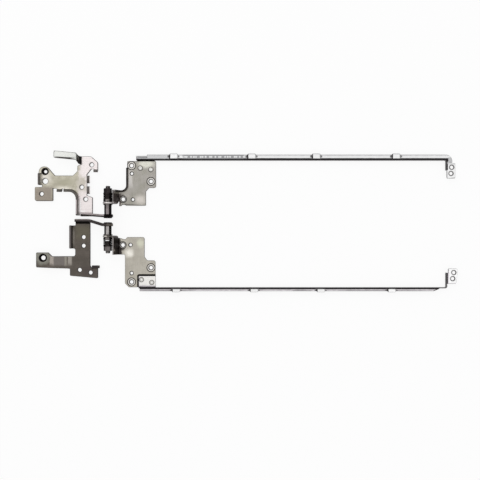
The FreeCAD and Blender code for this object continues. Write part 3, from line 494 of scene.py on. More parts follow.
class Workpiece:
    """A mesh in the making, in millimetres until it is finished."""

    def __init__(self, made: bpy.types.Object) -> None:
        """Takes over an object that is linked to the scene."""
        self.made = made

    @classmethod
    def from_node(cls, node: bpy.types.Object) -> Workpiece:
        """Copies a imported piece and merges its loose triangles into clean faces.

        Args:
            node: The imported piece.

        Returns:
            The copy, in millimetres.
        """
        mesh = node.data.copy()
        mesh.materials.clear()
        mesh.transform(Matrix.Scale(1 / MM, 4))
        made = bpy.data.objects.new(node.name + "_finished", mesh)
        bpy.context.scene.collection.objects.link(made)
        piece = cls(made)
        piece.pick()
        bpy.ops.mesh.customdata_custom_splitnormals_clear()
        with piece.editing():
            bpy.ops.mesh.remove_doubles(threshold=MERGE)
            bpy.ops.mesh.dissolve_degenerate(threshold=SLIVER)
            bpy.ops.mesh.dissolve_limited(angle_limit=math.radians(FLAT_ANGLE))
        return piece

    @classmethod
    def from_line(cls, name: str, points: Sequence[Point]) -> Workpiece:
        """Draws an open line as a start for turning.

        Args:
            name: The new piece's name.
            points: The line's points in the X-Y plane.

        Returns:
            The line, in millimetres.
        """
        bpy.ops.object.select_all(action="DESELECT")
        bpy.ops.mesh.primitive_plane_add(size=1.0, location=(0.0, 0.0, 0.0))
        piece = cls(bpy.context.active_object)
        piece.made.name = name
        with piece.editing():
            bpy.ops.mesh.merge(type="CENTER")
            bpy.ops.transform.translate(value=(*points[0], 0.0))
            for start, end in zip(points, points[1:]):
                step = (end[0] - start[0], end[1] - start[1], 0.0)
                bpy.ops.mesh.extrude_vertices_move(TRANSFORM_OT_translate={"value": step})
        return piece

    def pick(self) -> None:
        """Selects this piece alone."""
        bpy.ops.object.select_all(action="DESELECT")
        self.made.select_set(True)
        bpy.context.view_layer.objects.active = self.made

    @contextmanager
    def editing(self) -> Iterator[None]:
        """Opens edit mode with all of this piece alone selected, and closes it again.

        Returns:
            The context in which edit mode is open.
        """
        self.pick()
        bpy.ops.object.mode_set(mode="EDIT")
        bpy.ops.mesh.select_all(action="SELECT")
        yield
        bpy.ops.object.mode_set(mode="OBJECT")

    def modify(self, kind: str, **settings: Any) -> None:
        """Adds a modifier and applies it.

        Args:
            kind: The modifier's type.
            settings: Its settings.
        """
        self.pick()
        modifier = self.made.modifiers.new(kind.lower(), kind)
        for key, value in settings.items():
            setattr(modifier, key, value)
        bpy.ops.object.modifier_apply(modifier=modifier.name)

    def split(self, place: Vector, across: Vector, **settings: Any) -> None:
        """Divides the faces along a plane.

        Args:
            place: A point on the plane.
            across: The plane's normal.
            settings: What else the cut does; without any, both sides stay.
        """
        with self.editing():
            bpy.ops.mesh.bisect(plane_co=place, plane_no=across, **settings)

    def trim(self, place: Vector, outward: Vector) -> None:
        """Cuts away all that lies outward of a plane and closes the cut."""
        self.split(place, outward, clear_outer=True, use_fill=True)

    def absorb(self, other: Workpiece) -> None:
        """Joins another piece into this one.

        Args:
            other: The piece that is taken in.
        """
        self.pick()
        other.made.select_set(True)
        bpy.ops.object.join()

    def mark(self, name: str, value: Callable[[Vector, Vector], float]) -> None:
        """Gives each face a value by its place and normal.

        Args:
            name: The value's name.
            value: Gives the value from a point inside a face and the face's normal.
        """
        mesh = self.made.data
        layer = mesh.attributes.get(name) or mesh.attributes.new(name, "FLOAT", "FACE")
        spots = self.face_spots()
        values = [value(spots[face.index], face.normal) for face in mesh.polygons]
        layer.data.foreach_set("value", values)

    def face_spots(self) -> list[Vector]:
        """Finds a point that lies inside each face.

        Returns:
            The middle of each face's largest triangle.
        """
        mesh = self.made.data
        mesh.calc_loop_triangles()
        spots = [Vector() for _ in mesh.polygons]
        largest = [-1.0] * len(mesh.polygons)
        for triangle in mesh.loop_triangles:
            if triangle.area > largest[triangle.polygon_index]:
                corners = [mesh.vertices[i].co for i in triangle.vertices]
                spots[triangle.polygon_index] = sum(corners, Vector()) / 3
                largest[triangle.polygon_index] = triangle.area
        return spots

    def skin(self) -> BVHTree:
        """Gives the piece's surface for measuring.

        Returns:
            The search tree of its triangles.
        """
        mesh = self.made.data
        mesh.calc_loop_triangles()
        places = [v.co.copy() for v in mesh.vertices]
        return BVHTree.FromPolygons(places, [tuple(t.vertices) for t in mesh.loop_triangles])

    def pull_back(self, sharp: BVHTree, limit: float) -> None:
        """Pulls corners that strayed from the sharp piece back between their neighbours.

        Args:
            sharp: The sharp piece's surface.
            limit: How far a corner may lie from that surface, in millimetres.
        """
        mesh = self.made.data
        strays = {v.index for v in mesh.vertices if sharp.find_nearest(v.co)[GAP] > limit}
        near: dict[int, list[Vector]] = {stray: [] for stray in strays}
        for edge in mesh.edges:
            for one, other in (tuple(edge.vertices), tuple(reversed(edge.vertices))):
                if one in strays and other not in strays:
                    near[one].append(mesh.vertices[other].co.copy())
        for stray, others in near.items():
            middle = sum(others, Vector()) / max(len(others), 1)
            vertex = mesh.vertices[stray]
            vertex.co = sharp.find_nearest(middle if others else vertex.co)[PLACE]

    def round_edges(self, width: float, splits: Sequence[Plane] = ()) -> None:
        """Rounds every sharp edge and marks the rounded faces as rims.

        Args:
            width: The rounding's width in millimetres.
            splits: Planes along which the faces are then divided.
        """
        sharp = self.skin()
        mesh = self.made.data
        mesh.materials.append(None)
        mesh.materials.append(None)
        self.modify(
            "BEVEL",
            width=width,
            segments=ROUND_STEPS,
            limit_method="ANGLE",
            angle_limit=math.radians(SHARP_ANGLE),
            use_clamp_overlap=False,
            material=RIM_SLOT,
        )
        self.pull_back(sharp, STRAY_SHARE * width)
        for place, across in splits:
            self.split(place, across)
        mesh = self.made.data
        rims = [1.0 if face.material_index == RIM_SLOT else 0.0 for face in mesh.polygons]
        layer = mesh.attributes.new("rim", "FLOAT", "FACE")
        layer.data.foreach_set("value", rims)
        mesh.polygons.foreach_set("material_index", [0] * len(mesh.polygons))
        mesh.materials.clear()
        self.pick()
        bpy.ops.object.shade_smooth_by_angle(angle=math.radians(SMOOTH_ANGLE))
        self.modify("WEIGHTED_NORMAL", mode="FACE_AREA", weight=FACE_WEIGHT, keep_sharp=True)

    def mark_cuts(self, beyond: float) -> None:
        """Marks the sheared faces, with more metal behind them than the sheet is thick.

        Args:
            beyond: The depth of metal in millimetres past which a face counts as sheared.
        """
        tree = self.skin()

        def depth(spot: Vector, normal: Vector) -> float:
            """Gives 1 where the metal behind a face is deep."""
            found = tree.ray_cast(spot - normal * SKIN, -normal)[GAP]
            return 1.0 if found is not None and found > beyond else 0.0

        self.mark("cut", depth)

    def finish(self, node: bpy.types.Object, finish: bpy.types.Material) -> bpy.types.Object:
        """Turns the piece to metres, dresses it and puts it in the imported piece's place.

        Args:
            node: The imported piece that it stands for.
            finish: Its material.

        Returns:
            The finished object.
        """
        mesh = self.made.data
        mesh.transform(Matrix.Scale(MM, 4))
        mesh.materials.clear()
        mesh.materials.append(finish)
        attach(self.made, node["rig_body"])
        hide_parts(node.name)
        return self.made


class Hand(Enum):
    """The two hinges of the pair."""

    LEFT = "left"
    RIGHT = "right"

    @property
    def out(self) -> float:
        """Gives the direction along Y from the flange to the shaft's tip."""
        return 1.0 if self is Hand.LEFT else -1.0


Nodes = Mapping[str, bpy.types.Object]


@dataclass
class SheetPart:
    """A stamped and folded sheet.

    Args:
        hand: The hinge it belongs to.
        finish: Its metal finish.
        piece: The piece's plain name.
        beyond: Depth of metal past which a face counts as sheared, in millimetres.
        rounding: Width of the rounded edges in millimetres.
    """

    hand: Hand
    finish: MetalFinish
    piece: str
    beyond: float
    rounding: float

    def splits(self) -> Sequence[Plane]:
        """Gives the planes that divide the faces; a plain sheet has none."""
        return ()

    def stain(self, spot: Vector, normal: Vector) -> float:
        """Says how much painted shade darkens a face; a plain sheet has none."""
        return 0.0

    def shine(self, spot: Vector, normal: Vector) -> float:
        """Says how much a painted highlight brightens a face; a plain sheet has none."""
        return 0.0

    def build(self, nodes: Nodes) -> bpy.types.Object:
        """Makes and dresses the sheet.

        Args:
            nodes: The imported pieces.

        Returns:
            The finished sheet.
        """
        node = nodes[f"{self.hand.value}_{self.piece}"]
        work = Workpiece.from_node(node)
        work.round_edges(self.rounding, self.splits())
        work.mark_cuts(self.beyond)
        # Painted shade and painted highlights are given to the faces as values
        work.mark("stain", self.stain)
        work.mark("shine", self.shine)
        return work.finish(node, self.finish.material())


@dataclass
class BaseBracket(SheetPart):
    """A base bracket with its upright flange, tabs and walls.

    Places are in millimetres, and shares run from 0 to 1.

    Args:
        riser: Ends of the raised finger's slope along X.
        riser_from: Where that slope starts along Y.
        riser_up: Least and most upward part of the slope's normals.
        flange: Ends of the left flange's rim along Y.
        flange_low: Height above which the flange's rim lies.
        outward: How far the normals of the flange's outside point outwards at least.
        rim_line: A point in plan on the line between the rim's dark and bright halves.
        rim_slope: How far that line runs along Y for each millimetre along X.
        rim_end: Where the bright half ends along X.
        neck: Ends of the highlighted half of the left neck's rim along X, and its end along Y.
        walls_low: Height above which the walls' rims lie.
        outer_half: Where the highlighted half of the right flange's rim starts along Y.
        wall: Ends of the highlighted half of the right wall's rim along X.
        end_tab: The left end tab's edge along X, and its ends along Y.
        flange_highlight: How bright the painted highlight on the right flange's rim is.
        wall_highlight: How bright the painted highlight on the right wall's rim is.
        tab_highlight: How bright the painted highlight on the left end tab's rim is.
        neck_highlight: How bright the painted highlight on the left neck's rim is.
        rim_highlight: How bright the painted highlight on the left flange's rim is.
        rim_dark: How dark the painted shade on the other half of that rim is.
    """

    piece: str = "base_bracket"
    beyond: float = 2.7
    rounding: float = 0.3
    riser: Point = (-122.5, -117.0)
    riser_from: float = 40.0
    riser_up: Point = (0.05, 0.93)
    flange: Point = (2.6, 6.2)
    flange_low: float = 4.5
    outward: float = 0.3
    rim_line: Point = (-109.68, 4.6)
    rim_slope: float = -0.083
    rim_end: float = -100.0
    neck: tuple[float, float, float] = (-121.5, -120.3, 15.6)
    walls_low: float = 4.2
    outer_half: float = 0.95
    wall: Point = (-126.0, -124.6)
    end_tab: tuple[float, float, float] = (-147.0, 26.0, 34.5)
    flange_highlight: float = 0.8
    wall_highlight: float = 0.6
    tab_highlight: float = 0.4
    neck_highlight: float = 0.7
    rim_highlight: float = 0.45
    rim_dark: float = 0.8

    def splits(self) -> Sequence[Plane]:
        """Divides the rims of the flange, the right wall and the left neck.

        Returns:
            The planes that divide them.
        """
        ahead, across = Vector((1.0, 0.0, 0.0)), Vector((0.0, 1.0, 0.0))
        if self.hand is Hand.RIGHT:
            return (across * self.outer_half, across), (ahead * self.wall[1], ahead)
        return (
            (Vector((*self.rim_line, 0.0)), Vector((-self.rim_slope, 1.0, 0.0))),
            (ahead * self.rim_end, ahead),
            (ahead * self.neck[1], ahead),
            (across * self.neck[2], across),
        )

    def in_bright_half(self, spot: Vector) -> bool:
        """Says if a place lies on the bright half of the flange's rim."""
        middle = self.rim_line[1] + self.rim_slope * (spot.x - self.rim_line[0])
        return middle < spot.y and spot.x < self.rim_end

    def on_rim(self, spot: Vector, normal: Vector) -> bool:
        """Says if a face lies on top of the left bracket's flange."""
        level = self.flange[0] < spot.y < self.flange[1] and spot.z > self.flange_low
        return self.hand is Hand.LEFT and level and normal.z > TOP

    def shine(self, spot: Vector, normal: Vector) -> float:
        """Paints highlights on the bright halves of the rims.

        Args:
            spot: A point inside the face.
            normal: The face's normal.

        Returns:
            The share from 0 to 1.
        """
        if normal.z < TOP or spot.z < self.walls_low:
            return 0.0
        if self.hand is Hand.RIGHT:
            if spot.y > self.outer_half:
                return self.flange_highlight
            on_wall = self.wall[0] < spot.x < self.wall[1] and normal.z > LEVEL
            return self.wall_highlight if on_wall else 0.0
        tab, tab_low, tab_high = self.end_tab
        if spot.x < tab and tab_low < spot.y < tab_high:
            return self.tab_highlight
        neck_low, neck_high, neck_end = self.neck
        if neck_low < spot.x < neck_high and self.flange[1] < spot.y < neck_end:
            return self.neck_highlight
        bright = self.on_rim(spot, normal) and self.in_bright_half(spot)
        return self.rim_highlight if bright else 0.0

    def stain(self, spot: Vector, normal: Vector) -> float:
        """Paints shade on the raised finger's slope and the flange's outside, on the left bracket.

        Args:
            spot: A point inside the face.
            normal: The face's normal.

        Returns:
            The share from 0 to 1.
        """
        on_slope = self.riser[0] < spot.x < self.riser[1] and spot.y > self.riser_from
        slope = on_slope and self.riser_up[0] < normal.z < self.riser_up[1]
        outside = spot.y < self.flange[1] and normal.y < -self.outward
        end = spot.x > self.rim_end
        if self.hand is Hand.LEFT and (slope or outside or end):
            return 1.0
        dark = self.on_rim(spot, normal) and not self.in_bright_half(spot)
        return self.rim_dark if dark else 0.0


@dataclass
class LidBracket(SheetPart):
    """A lid bracket with its arm, ear and screw seats.

    Args:
        recess: Ends of the stepped-down floor along X and along Y, in millimetres.
        recess_high: Height below which that floor lies, in millimetres.
        crest: Height above which the arm's top edge gets a painted highlight, in millimetres.
        crest_up: Least upward part of a highlighted face's normal.
        crest_along: Most that this normal points along the shaft.
        crest_back: Least that it points towards the shaft, on the arm.
        ear_end: Where the left ear ends along Y, in millimetres.
        left_highlight: How bright the painted highlight on the left arm's crest is, from 0 to 1.
        right_highlight: How bright the painted highlight on the right arm's crest is, from 0 to 1.
    """

    piece: str = "lid_bracket"
    beyond: float = 1.7
    rounding: float = 0.23
    recess: tuple[float, float, float, float] = (-78.5, -64.0, -47.5, -37.0)
    recess_high: float = 1.4
    crest: float = 7.8
    crest_up: float = 0.55
    crest_along: float = 0.5
    crest_back: float = 0.2
    ear_end: float = 13.9
    left_highlight: float = 0.5
    right_highlight: float = 0.8

    def shine(self, spot: Vector, normal: Vector) -> float:
        """Paints highlights on the left ear's rim top, and fainter ones on the arms' crests.

        Args:
            spot: A point inside the face.
            normal: The face's normal.

        Returns:
            The share from 0 to 1.
        """
        upright = normal.z < self.crest_up or abs(normal.y) > self.crest_along
        if spot.z < self.crest or upright:
            return 0.0
        if self.hand is Hand.LEFT and spot.y < self.ear_end:
            return 1.0
        crest_highlight = self.left_highlight if self.hand is Hand.LEFT else self.right_highlight
        return crest_highlight if normal.x < -self.crest_back else 0.0

    def stain(self, spot: Vector, normal: Vector) -> float:
        """Paints shadow on the stepped-down floor round the right rail's tab.

        Args:
            spot: A point inside the face.
            normal: The face's normal.

        Returns:
            The share from 0 to 1.
        """
        if self.hand is Hand.LEFT or normal.z < FLOOR or spot.z > self.recess_high:
            return 0.0
        low_x, high_x, low_y, high_y = self.recess
        return 1.0 if low_x < spot.x < high_x and low_y < spot.y < high_y else 0.0


@dataclass
class ScreenRail(SheetPart):
    """A screen rail with its flange, bumps and screw ear.

    Args:
        corner: Where the rail turns towards its screw ear along X, in millimetres.
        inward: How far a shaded face's normal points inwards at least.
    """

    piece: str = "screen_rail"
    beyond: float = 1.3
    rounding: float = 0.18
    corner: float = 143.8
    inward: float = 0.08

    def splits(self) -> Sequence[Plane]:
        """Divides the rail at its corner."""
        return ((Vector((self.corner, 0.0, 0.0)), Vector((1.0, 0.0, 0.0))),)

    def stain(self, spot: Vector, normal: Vector) -> float:
        """Paints shade on the wall and bend that face the middle of the pair.

        Args:
            spot: A point inside the face.
            normal: The face's normal.

        Returns:
            The share from 0 to 1.
        """
        inward = -normal.x
        if spot.x < self.corner:
            inward = max(inward, -self.hand.out * normal.y)
        return 1.0 if inward > self.inward else 0.0


@dataclass
class FrictionStack:
    """The shaft with its washers, disc springs and nut.

    Args:
        hand: The hinge it belongs to.
        finishes: The finish of each piece.
        rounding: Width of the rounded edges in millimetres.
        thread_radius: Radius of the thread's crests in millimetres.
        thread_depth: Depth of the thread in millimetres.
        thread_pitch: Pitch of the thread in millimetres.
        thread_steps: Steps in a turn of the thread.
        thread_spare: Turns wound beyond the tip's length.
        thread_shares: Where a turn's crest starts and ends and its root starts, in pitches.
        tip_slope: How far the tip narrows in millimetres.
        shade_start: How far down their sides the turned pieces stay clear of painted shade.
        shade_fade: Over how much of their sides this painted shade fades in.
        middle: The middle of the pair along Y, in millimetres.
        heads: How far from the middle the riveted heads reach, in millimetres.
    """

    hand: Hand
    finishes: Mapping[str, MetalFinish]
    rounding: float = 0.08
    thread_radius: float = 1.7
    thread_depth: float = 0.2
    thread_pitch: float = 0.5
    thread_steps: int = 56
    thread_spare: int = 2
    thread_shares: tuple[float, float, float] = (0.38, 0.5, 0.88)
    tip_slope: float = 0.5
    shade_start: float = 0.32
    shade_fade: float = 0.2
    middle: float = 0.86
    heads: float = 2.15

    def build(self, nodes: Nodes) -> list[bpy.types.Object]:
        """Makes and dresses each piece of the stack.

        Args:
            nodes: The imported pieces.

        Returns:
            The finished pieces.
        """
        made: list[bpy.types.Object] = []
        for piece, finish in self.finishes.items():
            node = nodes[f"{self.hand.value}_{piece}"]
            work = Workpiece.from_node(node)
            if piece == "hinge_shaft":
                self.thread(work, node.name)
            work.round_edges(self.rounding)
            # All pieces but the nut get painted shade on their sides and dark riveted heads
            if piece != "lock_nut":
                work.mark("stain", self.stain)
            made.append(work.finish(node, finish.material()))
        return made

    def stain(self, spot: Vector, normal: Vector) -> float:
        """Darkens the riveted heads and paints shade on the pieces' sides, below their bright tops.

        Args:
            spot: A point inside the face.
            normal: The face's normal.

        Returns:
            The share from 0 to 1.
        """
        if abs(spot.y - self.middle) < self.heads:
            return 1.0
        return min(max((abs(normal.x) - self.shade_start) / self.shade_fade, 0.0), 1.0)

    def thread(self, work: Workpiece, node: str) -> None:
        """Swaps the shaft's plain tip for a threaded one.

        Args:
            work: The shaft in the making.
            node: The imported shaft's name.
        """
        low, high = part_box(node)
        nut_low, nut_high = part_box(f"{self.hand.value}_lock_nut")
        left = self.hand is Hand.LEFT
        root = (nut_high.y if left else nut_low.y) / MM
        length = ((high.y - nut_high.y) if left else (nut_low.y - low.y)) / MM
        axis = Vector(((low.x + high.x) / 2 / MM, root, (low.z + high.z) / 2 / MM))
        work.trim(axis, Vector((0.0, self.hand.out, 0.0)))
        work.absorb(self.threaded_tip(axis, length))

    def threaded_tip(self, axis: Vector, length: float) -> Workpiece:
        """Winds one drawn turn of thread up the tip, cuts it level and tapers its end.

        Args:
            axis: Where the tip starts on the shaft's axis.
            length: The tip's length in millimetres.

        Returns:
            The closed, threaded tip.
        """
        crest, pitch = self.thread_radius, self.thread_pitch
        root = crest - self.thread_depth
        rise, top, fall = (share * pitch for share in self.thread_shares)
        turn = [(root, 0.0), (crest, rise), (crest, top), (root, fall), (root, pitch)]
        tip = Workpiece.from_line("thread", turn)
        tip.modify(
            "SCREW",
            axis="Y",
            screw_offset=pitch,
            iterations=math.ceil(length / pitch) + self.thread_spare,
            steps=self.thread_steps,
            render_steps=self.thread_steps,
            use_merge_vertices=True,
            merge_threshold=MERGE,
        )
        tip.trim(Vector((0.0, pitch, 0.0)), Vector((0.0, -1.0, 0.0)))
        tip.trim(Vector((0.0, pitch + length, 0.0)), Vector((0.0, 1.0, 0.0)))
        for vertex in tip.made.data.vertices:
            reach = math.hypot(vertex.co.x, vertex.co.z)
            most = crest - max(0.0, vertex.co.y - pitch - length + self.tip_slope)
            if reach > most:
                vertex.co.x *= most / reach
                vertex.co.z *= most / reach
        with tip.editing():
            bpy.ops.mesh.remove_doubles(threshold=MERGE)
            bpy.ops.mesh.normals_make_consistent(inside=False)
        left = self.hand is Hand.LEFT
        spin = Matrix.Identity(4) if left else Matrix.Rotation(math.pi, 4, "Z")
        down = Matrix.Translation((0.0, -pitch, 0.0))
        tip.made.data.transform(Matrix.Translation(axis) @ spin @ down)
        return tip


@dataclass
class RailEyelets:
    """The hollow eyelets that join a lid bracket and its rail.

    Args:
        hand: The hinge they belong to.
        finish: Their metal finish.
        rounding: Width of the rounded edges in millimetres.
    """

    hand: Hand
    finish: MetalFinish
    rounding: float = 0.06

    def build(self, nodes: Nodes) -> bpy.types.Object:
        """Makes and dresses the eyelets.

        Args:
            nodes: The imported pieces.

        Returns:
            The finished eyelets.
        """
        node = nodes[f"{self.hand.value}_rail_eyelets"]
        work = Workpiece.from_node(node)
        work.round_edges(self.rounding)
        return work.finish(node, self.finish.material())


@dataclass
class Studio:
    """Pale floor, soft light from above and the camera over the pair.

    Args:
        floor: Half the floor's width in metres.
        floor_drop: How far the floor lies under the pair, in metres.
        floor_paint: The floor's colour under the lamps.
        floor_glow: How much of a plain white the floor shows where it is seen.
        camera_over: The point that the camera looks straight down on, in metres.
        camera_height: The camera's height in metres.
        camera_near: How near the camera sees, in metres.
        frame_width: Width of the floor that fills the image, in metres.
        sky: Heights in the sky and their brightness, from the horizon to straight above.
        key_place: Place of the large lamp at the upper left, in metres.
        key_watts: Its power.
        fill_place: Place of the large lamp at the lower right, in metres.
        fill_watts: Its power.
        lamp_size: Width of both lamps in metres.
    """

    floor: float = 40.0
    floor_drop: float = 0.05 * MM
    floor_paint: Colour = (0.95, 0.95, 0.95, 1.0)
    floor_glow: float = 0.88
    camera_over: Point = (-0.0042, -0.0131)
    camera_height: float = 0.5
    camera_near: float = 0.01
    frame_width: float = 0.3446
    sky: tuple[tuple[float, float], ...] = (
        (0.0, 0.97),
        (0.06, 0.9),
        (0.13, 0.55),
        (0.3, 0.38),
        (0.58, 0.42),
        (0.78, 0.82),
        (1.0, 0.9),
    )
    key_place: tuple[float, float, float] = (-0.75, 0.95, 1.1)
    key_watts: float = 9.0
    fill_place: tuple[float, float, float] = (0.9, -0.7, 1.1)
    fill_watts: float = 4.0
    lamp_size: float = 1.7

    def build(self) -> None:
        """Sets the floor, the light and the camera."""
        self.lay_floor()
        self.light_sky()
        self.hang_lamp("key_lamp", self.key_place, self.key_watts)
        self.hang_lamp("fill_lamp", self.fill_place, self.fill_watts)
        self.set_camera()
        bpy.context.scene.view_settings.view_transform = "Standard"

    def lay_floor(self) -> None:
        """Lays a white floor under the pair, which keeps a soft shadow."""
        bpy.ops.object.select_all(action="DESELECT")
        bpy.ops.mesh.primitive_plane_add(size=2 * self.floor, location=(0.0, 0.0, 0.0))
        floor = bpy.context.active_object
        floor.name = "floor"
        with Workpiece(floor).editing():
            bpy.ops.transform.translate(value=(0.0, 0.0, -self.floor_drop))
        graph, material = Graph.of_material("white_floor")
        light = graph.node("ShaderNodeLightPath")
        seen = light.out("Is Camera Ray").largest(light.out("Is Glossy Ray"))
        seen = seen.largest(light.out("Is Transmission Ray"))
        paint = graph.node("ShaderNodeBsdfDiffuse", {}, {"Color": self.floor_paint})
        white = {"Color": (1.0, 1.0, 1.0, 1.0), "Strength": 1.0}
        glow = graph.node("ShaderNodeEmission", {}, white)
        both = graph.node("ShaderNodeMixShader", {}, {0: seen * self.floor_glow, 1: paint, 2: glow})
        graph.node("ShaderNodeOutputMaterial", {}, {"Surface": both})
        floor.data.materials.append(material)

    def light_sky(self) -> None:
        """Makes a sky that is bright above, dark at its sides and pale at the horizon."""
        world = bpy.data.worlds.new("studio_sky")
        world.use_nodes = True
        bpy.context.scene.world = world
        graph = Graph(world.node_tree)
        way = graph.node("ShaderNodeTexCoord", output="Generated")
        height = graph.node("ShaderNodeSeparateXYZ", {}, {0: way}, "Z")
        stops = [(place, (light, light, light, 1.0)) for place, light in self.sky]
        colour = graph.node("ShaderNodeValToRGB", {"stops": stops}, {0: height})
        back = graph.node("ShaderNodeBackground", {}, {"Color": colour, "Strength": 1.0})
        graph.node("ShaderNodeOutputWorld", {}, {"Surface": back})

    def hang_lamp(self, name: str, place: Sequence[float], watts: float) -> None:
        """Hangs one large square lamp that faces the pair.

        Args:
            name: The lamp's name.
            place: Its place in metres.
            watts: Its power.
        """
        lamp = bpy.data.lights.new(name, "AREA")
        lamp.size = self.lamp_size
        lamp.energy = watts
        made = bpy.data.objects.new(name, lamp)
        made.location = place
        made.rotation_euler = (-Vector(place)).to_track_quat("-Z", "Y").to_euler()
        bpy.context.scene.collection.objects.link(made)

    def set_camera(self) -> None:
        """Hangs the camera straight above, with the hinges' bases at the left."""
        lens = bpy.data.cameras.new("camera")
        lens.sensor_fit = "HORIZONTAL"
        lens.angle = 2 * math.atan(self.frame_width / 2 / self.camera_height)
        lens.clip_start = self.camera_near
        camera = bpy.data.objects.new("camera", lens)
        camera.location = (*self.camera_over, self.camera_height)
        bpy.context.scene.collection.objects.link(camera)
        bpy.context.scene.camera = camera


SPOT, RING, BAR = MarkKind.SPOT, MarkKind.RING, MarkKind.BAR


def seat_marks(seats: Sequence[Point], radius: float = 2.8, hole: float = 1.3) -> tuple[Mark, ...]:
    """Gives each pressed screw seat's land a painted highlight and its outlines painted shade.

    Args:
        seats: The seats' centres in millimetres.
        radius: The seat's radius in millimetres.
        hole: Its hole's radius in millimetres.

    Returns:
        The marks.
    """
    middle = (radius + hole) / 2
    land, edge, mouth = (middle, radius - middle), (radius + 0.12, 0.42), (hole + 0.2, 0.6)
    marks: list[Mark] = []
    for seat in seats:
        marks.append(Mark(RING, seat, land, tone(226, 223, 217), 0.9, 0.5, ragged=0.2))
        marks.append(Mark(RING, seat, edge, SHADE_BROWN, 0.95, 0.7, ragged=0.35))
        marks.append(Mark(RING, seat, mouth, SHADE_BROWN, 0.95, 0.7, ragged=0.4))
    return tuple(marks)


def hole_marks(holes: Sequence[Point], radius: float, strength: float = 0.8) -> tuple[Mark, ...]:
    """Gives each small hole an outline of painted shade.

    Args:
        holes: The holes' centres in millimetres.
        radius: The outline's radius in millimetres.
        strength: How dark the outline is.

    Returns:
        The marks.
    """
    size = (radius, 0.55)
    return tuple(Mark(RING, hole, size, SHADE_BROWN, strength, 0.8, ragged=0.7) for hole in holes)


LEFT_BASE = MetalFinish(
    name="left_base_zinc",
    main=tone(190, 185, 169),
    second=tone(170, 165, 149),
    cut=tone(84, 80, 76),
    rim=tone(62, 57, 54),
    shine=tone(208, 196, 198),
    cloud=3.4,
    speck=0.4,
    marks=(
        # Painted light: the pinkish-white band and the paler patches are painted reflections,
        # the finger, the rings round the holes and the black countersink ring painted shade
        # the white bars beside the neck painted highlights, and the dark bars under the pad and
        Mark(SPOT, (-129.0, 28.1), (9.0, 4.2), tone(166, 162, 143), 0.8, 0.9),
        Mark(SPOT, (-130.0, 23.0), (9.5, 3.4), tone(220, 215, 203), 0.95, 0.8),
        Mark(SPOT, (-144.0, 31.2), (7.0, 6.5), tone(224, 219, 210), 0.9, 0.8),
        Mark(BAR, (-144.8, 19.0), (8.2, 7.0), tone(148, 139, 129), 0.95, 0.4),
        Mark(BAR, (-145.9, 14.9), (6.4, 0.45), tone(92, 86, 80), 0.85, 0.5, ragged=0.2),
        Mark(BAR, (-112.6, 28.3), (8.8, 45.0), tone(234, 226, 225), 1.0, 0.4, -5.0, 0.5),
        Mark(SPOT, (-117.2, 26.6), (5.4, 8.6), tone(190, 184, 172), 0.9, 0.7, ragged=1.1),
        Mark(BAR, (-130.0, 48.0), (11.6, 5.2), tone(218, 219, 215), 1.0, 0.12, -3.5),
        Mark(BAR, (-128.6, 45.0), (9.0, 1.0), SHADE_BROWN, 0.95, 0.6, -3.5, 0.2),
        Mark(BAR, (-118.5, 11.0), (0.55, 5.5), WHITE, 0.9, 0.6, ragged=0.2),
        Mark(BAR, (-116.6, 7.5), (2.4, 0.5), WHITE, 0.9, 0.6, ragged=0.2),
        Mark(BAR, (-113.8, 6.3), (6.2, 0.6), tone(176, 168, 168), 0.9, 0.5, ragged=0.2),
        *hole_marks(((-114.6, 16.1), (-117.4, 24.7), (-110.3, 40.7), (-146.1, 19.9)), 1.6, 0.55),
        *hole_marks(((-143.5, 29.0),), 2.1, 0.45),
        Mark(RING, (-143.6, 35.9), (1.8, 1.0), BLACK, 1.0, 0.4, ragged=0.2),
    ),
)
RIGHT_BASE = MetalFinish(
    name="right_base_gunmetal",
    main=tone(102, 95, 89),
    second=tone(92, 86, 80),
    cut=tone(62, 57, 57),
    rim=tone(40, 36, 35),
    shine=tone(140, 133, 131),
    marks=(
        # Painted light: the black bar along the flange's bend and the black countersink ring are
        # and the bands across the arm painted light and shade of its ramp
        # painted shade, the pale bars along the wall's bend and the right edge painted highlights,
        Mark(SPOT, (-112.5, -36.0), (10.0, 6.0), tone(84, 76, 74), 0.8, 0.9),
        Mark(BAR, (-116.0, -7.8), (9.0, 7.0), tone(102, 97, 84), 0.8, 0.7),
        Mark(BAR, (-117.0, -0.5), (9.0, 1.4), tone(14, 12, 11), 0.97, 0.5),
        Mark(BAR, (-123.2, -11.0), (1.0, 8.0), tone(148, 142, 134), 0.8, 0.7),
        Mark(BAR, (-111.7, -14.0), (0.5, 13.0), tone(124, 112, 105), 0.6, 0.8),
        Mark(SPOT, (-144.6, -24.6), (7.0, 7.5), tone(137, 136, 127), 0.95, 0.4),
        Mark(BAR, (-133.4, -26.4), (5.4, 6.0), tone(124, 118, 114), 0.9, 0.4),
        Mark(BAR, (-138.1, -26.4), (1.9, 6.0), tone(176, 167, 159), 0.9, 0.6),
        Mark(BAR, (-128.8, -26.4), (1.0, 6.0), tone(152, 147, 137), 0.85, 0.5),
        Mark(BAR, (-125.9, -26.4), (2.0, 6.0), tone(164, 158, 150), 0.9, 0.6),
        Mark(RING, (-144.4, -25.8), (2.2, 0.9), BLACK, 1.0, 0.4, ragged=0.2),
    ),
)
